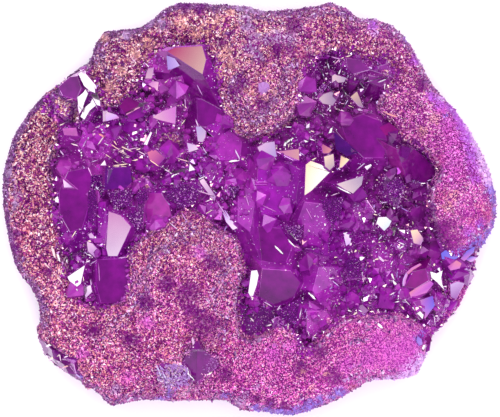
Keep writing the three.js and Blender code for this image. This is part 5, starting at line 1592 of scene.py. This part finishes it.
def tinted(tree, shader, clouds):
    """The colours stored in the mesh, with clouds over them, as the finish's own colour."""
    tint = node(tree, "ShaderNodeAttribute", attribute_name="tint").outputs["Color"]
    tree.links.new(blended(tree, "MULTIPLY", tint, clouds), shader.inputs["Base Color"])


def from_to(tree, value, low, high, kind="LINEAR"):
    """From 0 where a value is low to 1 where it is high."""
    made = node(tree, "ShaderNodeMapRange", interpolation_type=kind)
    made.inputs["From Min"].default_value = low
    made.inputs["From Max"].default_value = high
    tree.links.new(value, made.inputs["Value"])
    return made.outputs["Result"]


print("pieces that wait for a finish:", len(pieces))

# %% [markdown]
# ## Glassy quartz under its film
# The body is see-through quartz that holds back green light, under a skin that is partly metal: some light
# goes in and comes out violet, some comes straight back. The amount that the glass absorbs grows with the
# way through it, so thick crystals go darker, as they do in a real one. The brightest faces are nearly all
# film, close to a mirror.

# %% The glassy finish
glassy, tree, shader = new_finish(
    "coated_quartz", Roughness=0.04, Metallic=0.12, Transmission_Weight=0.4, IOR=1.54, Coat_Weight=0.5,
    Coat_Roughness=0.02
)
tinted(tree, shader, mottled(tree, 420.0, 2.2, (0.70, 0.58, 0.74), (1.26, 1.2, 1.22)))
depth = node(tree, "ShaderNodeVolumeAbsorption")
depth.inputs["Color"].default_value = (0.82, 0.42, 0.92, 1)
depth.inputs["Density"].default_value = 28
tree.links.new(depth.outputs[0], tree.nodes["Material Output"].inputs["Volume"])
print(glassy.name, "absorbs with a density of", depth.inputs["Density"].default_value)

# %% The metal-like film on the brightest faces
film, tree, shader = new_finish("bright_film", Metallic=FILM_METAL, Roughness=0.06, IOR=1.54)
tinted(tree, shader, mottled(tree, 150.0, 1.8, (0.93, 0.86, 0.92), (1.06, 1.06, 1.02)))
print(film.name, "is metal to", FILM_METAL)

# %% [markdown]
# ## Druse, rind and back
# The grains hold their colours face by face and are duller than the large crystals. Between them the rock
# shows: dark violet, and a lighter pink in the pink corner. Its broken sides are chalky grey-lavender, and
# the flat cut back shows the rock's growth bands, which rings of a wave texture give.

# %% The druse's finish
sugar, tree, shader = new_finish("sugar_druse", Metallic=0.15, Roughness=0.3, Specular_IOR_Level=0.05)
tinted(tree, shader, mottled(tree, 420.0, 2.0, (0.80, 0.74, 0.86), (1.12, 1.12, 1.08)))
print(sugar.name, "shines by", round(shader.inputs["Specular IOR Level"].default_value, 2))

# %% The rock's own finish, sides and back
CHALK_COLOURS = mixed(96, 44, 110), mixed(176, 132, 180)
GAP_COLOURS = mixed(80, 10, 86), mixed(134, 28, 124)
PINK_GAP_COLOURS = mixed(132, 30, 132), mixed(172, 56, 160)
BAND_COLOURS = mixed(150, 132, 150), mixed(206, 192, 204)
BANDS = {"Scale": 55, "Distortion": 7, "Detail": 4}
SAWN = -0.95  # a face that looks straight down belongs to the cut back
PINK_START, PINK_FULL = 34 * MM, 50 * MM  # how far out towards the pink corner the gaps turn pink
TOP_START, TOP_FULL = 0.05, 0.45  # from a steep side to the top, by the way that the surface looks up
chalk, tree, shader = new_finish("chalky_rock", Roughness=0.62, Specular_IOR_Level=0.15)
where = node(tree, "ShaderNodeTexCoord").outputs["Object"]
way = node(tree, "ShaderNodeVectorMath", operation="DOT_PRODUCT")
way.inputs[1].default_value = (*PINK_CORNER, 0)
tree.links.new(where, way.inputs[0])
pink = from_to(tree, way.outputs["Value"], PINK_START, PINK_FULL)
gaps, pink_gaps = mottled(tree, 500.0, 2.0, *GAP_COLOURS), mottled(tree, 500.0, 2.0, *PINK_GAP_COLOURS)
split = node(tree, "ShaderNodeSeparateXYZ")
tree.links.new(node(tree, "ShaderNodeNewGeometry").outputs["Normal"], split.inputs[0])
top = from_to(tree, split.outputs["Z"], TOP_START, TOP_FULL, "SMOOTHSTEP")
sides = mottled(tree, 330.0, 2.6, *CHALK_COLOURS)
colour = blended(tree, "MIX", sides, blended(tree, "MIX", gaps, pink_gaps, pink), top)
bands = node(tree, "ShaderNodeTexWave", wave_type="RINGS", rings_direction="Z")
for key, value in BANDS.items():
    bands.inputs[key].default_value = value
tree.links.new(where, bands.inputs["Vector"])
first, second = ((*band, 1) for band in BAND_COLOURS)
cut = blended(tree, "MIX", first, second, bands.outputs["Fac"])
sawn = node(tree, "ShaderNodeMath", operation="LESS_THAN")
sawn.inputs[1].default_value = SAWN
tree.links.new(split.outputs["Z"], sawn.inputs[0])
tree.links.new(blended(tree, "MIX", colour, cut, sawn.outputs[0]), shader.inputs["Base Color"])
grit = node(tree, "ShaderNodeTexVoronoi")
grit.inputs["Scale"].default_value = 1500
bump = node(tree, "ShaderNodeBump")
bump.inputs["Strength"].default_value = 0.6
bump.inputs["Distance"].default_value = 0.4 * MM
tree.links.new(where, grit.inputs["Vector"])
tree.links.new(grit.outputs["Distance"], bump.inputs["Height"])
tree.links.new(bump.outputs["Normal"], shader.inputs["Normal"])
print(chalk.name, "has", len(tree.nodes), "nodes")

# %% [markdown]
# ## Which piece gets which finish
# A piece whose faces are numbered glass or film has two places for materials, and takes both. Every other
# piece, down to the specks, has the duller finish of the druse, apart from the rock itself.

# %% Every piece gets its finish
rock.data.materials.clear()
for piece in pieces:
    if len(piece.data.materials) == 2:
        piece.data.materials[GLASS], piece.data.materials[FILM] = glassy, film
    else:
        piece.data.materials.append(chalk if piece is rock else sugar)
print("finishes:", {piece.name: [made.name for made in piece.data.materials] for piece in pieces})

# %% [markdown]
# ## Floor, light and camera
# The stone lies on a plain pale floor. Three soft boxes stand where the faces that lean to them mirror them
# into a camera looking straight down; the sky between them stays dim, so that the other faces keep their own
# colour.

# %% The floor
FLOOR_HALF = 2.0
floor_mesh = bpy.data.meshes.new("floor")
floor_corners = [(x * FLOOR_HALF, y * FLOOR_HALF, 0) for x, y in ((-1, -1), (1, -1), (1, 1), (-1, 1))]
floor_mesh.from_pydata(floor_corners, [], [(0, 1, 2, 3)])
floor = bpy.data.objects.new("floor", floor_mesh)
bpy.context.scene.collection.objects.link(floor)
floor.data.materials.append(new_finish("pale_floor", Base_Color=(0.96, 0.96, 0.96, 1), Roughness=0.9)[0])
print("the floor is", 2 * FLOOR_HALF, "m wide")

# %% [markdown]
# ## Soft boxes, fills and the sky
# A face shows a lamp as a bright patch only when it mirrors it, so the three coloured boxes are what glints.
# The two large fills light the stone evenly from nearly overhead; they don't show in its faces.

# %% Soft boxes, fills and the sky


def softbox(name, azimuth, elevation, distance, size, radiance, colour, mirrored=True):
    """A square lamp that looks at the slab; one that isn't mirrored doesn't show in its faces."""
    lamp = bpy.data.lights.new(name, "AREA")
    lamp.size = size
    lamp.energy = radiance * math.pi * size * size
    lamp.color = colour
    holder = bpy.data.objects.new(name, lamp)
    bpy.context.scene.collection.objects.link(holder)
    towards = Vector(direction_of(azimuth, elevation))
    holder.location = towards * distance
    holder.rotation_mode = "QUATERNION"
    holder.rotation_quaternion = towards.to_track_quat("Z", "Y")
    holder.visible_glossy = mirrored


LAMP_SIZE = 0.25
for name, (azimuth, elevation, radiance, colour) in LAMPS.items():
    softbox(name, azimuth, elevation, LAMP_DISTANCE, LAMP_SIZE, radiance, colour)
FILL_DISTANCE, FILL_SIZE = 0.9, 0.7
for name, azimuth, elevation, radiance, colour in (
    ("fill", 100, 78, 2.75, (1.0, 1.0, 1.0)),
    ("front_fill", 290, 70, 2.65, (1.0, 0.98, 1.0)),
):
    softbox(name, azimuth, elevation, FILL_DISTANCE, FILL_SIZE, radiance, colour, mirrored=False)

SKY = [(0.25, (0.90, 0.88, 0.92, 1)), (0.95, (0.32, 0.14, 0.38, 1))]  # pale low down, dim violet overhead
sky = bpy.data.worlds.new("studio")
bpy.context.scene.world = sky
sky.use_nodes = True
tree = sky.node_tree
direction = node(tree, "ShaderNodeTexCoord")
split = node(tree, "ShaderNodeSeparateXYZ")
ramp = node(tree, "ShaderNodeValToRGB")
for element, (height, colour) in zip(ramp.color_ramp.elements, SKY):
    element.position, element.color = height, colour
tree.links.new(direction.outputs["Generated"], split.inputs[0])
tree.links.new(split.outputs["Z"], ramp.inputs["Fac"])
tree.links.new(ramp.outputs["Color"], tree.nodes["Background"].inputs["Color"])
print("lamps:", len(bpy.data.lights))

# %% [markdown]
# ## The camera
# It looks straight down from far off through a long lens, so heights hardly shift what stands on them, and
# the slab's length fills the width of the frame.

# %% The camera, straight above
camera_data = bpy.data.cameras.new("camera")
camera_data.lens = LENS
camera_data.sensor_width = SENSOR
camera = bpy.data.objects.new("camera", camera_data)
bpy.context.scene.collection.objects.link(camera)
camera.location = EYE
bpy.context.scene.camera = camera
bpy.context.scene.view_settings.view_transform = "Standard"
print("camera height:", round(camera.location.z / MM), "mm")
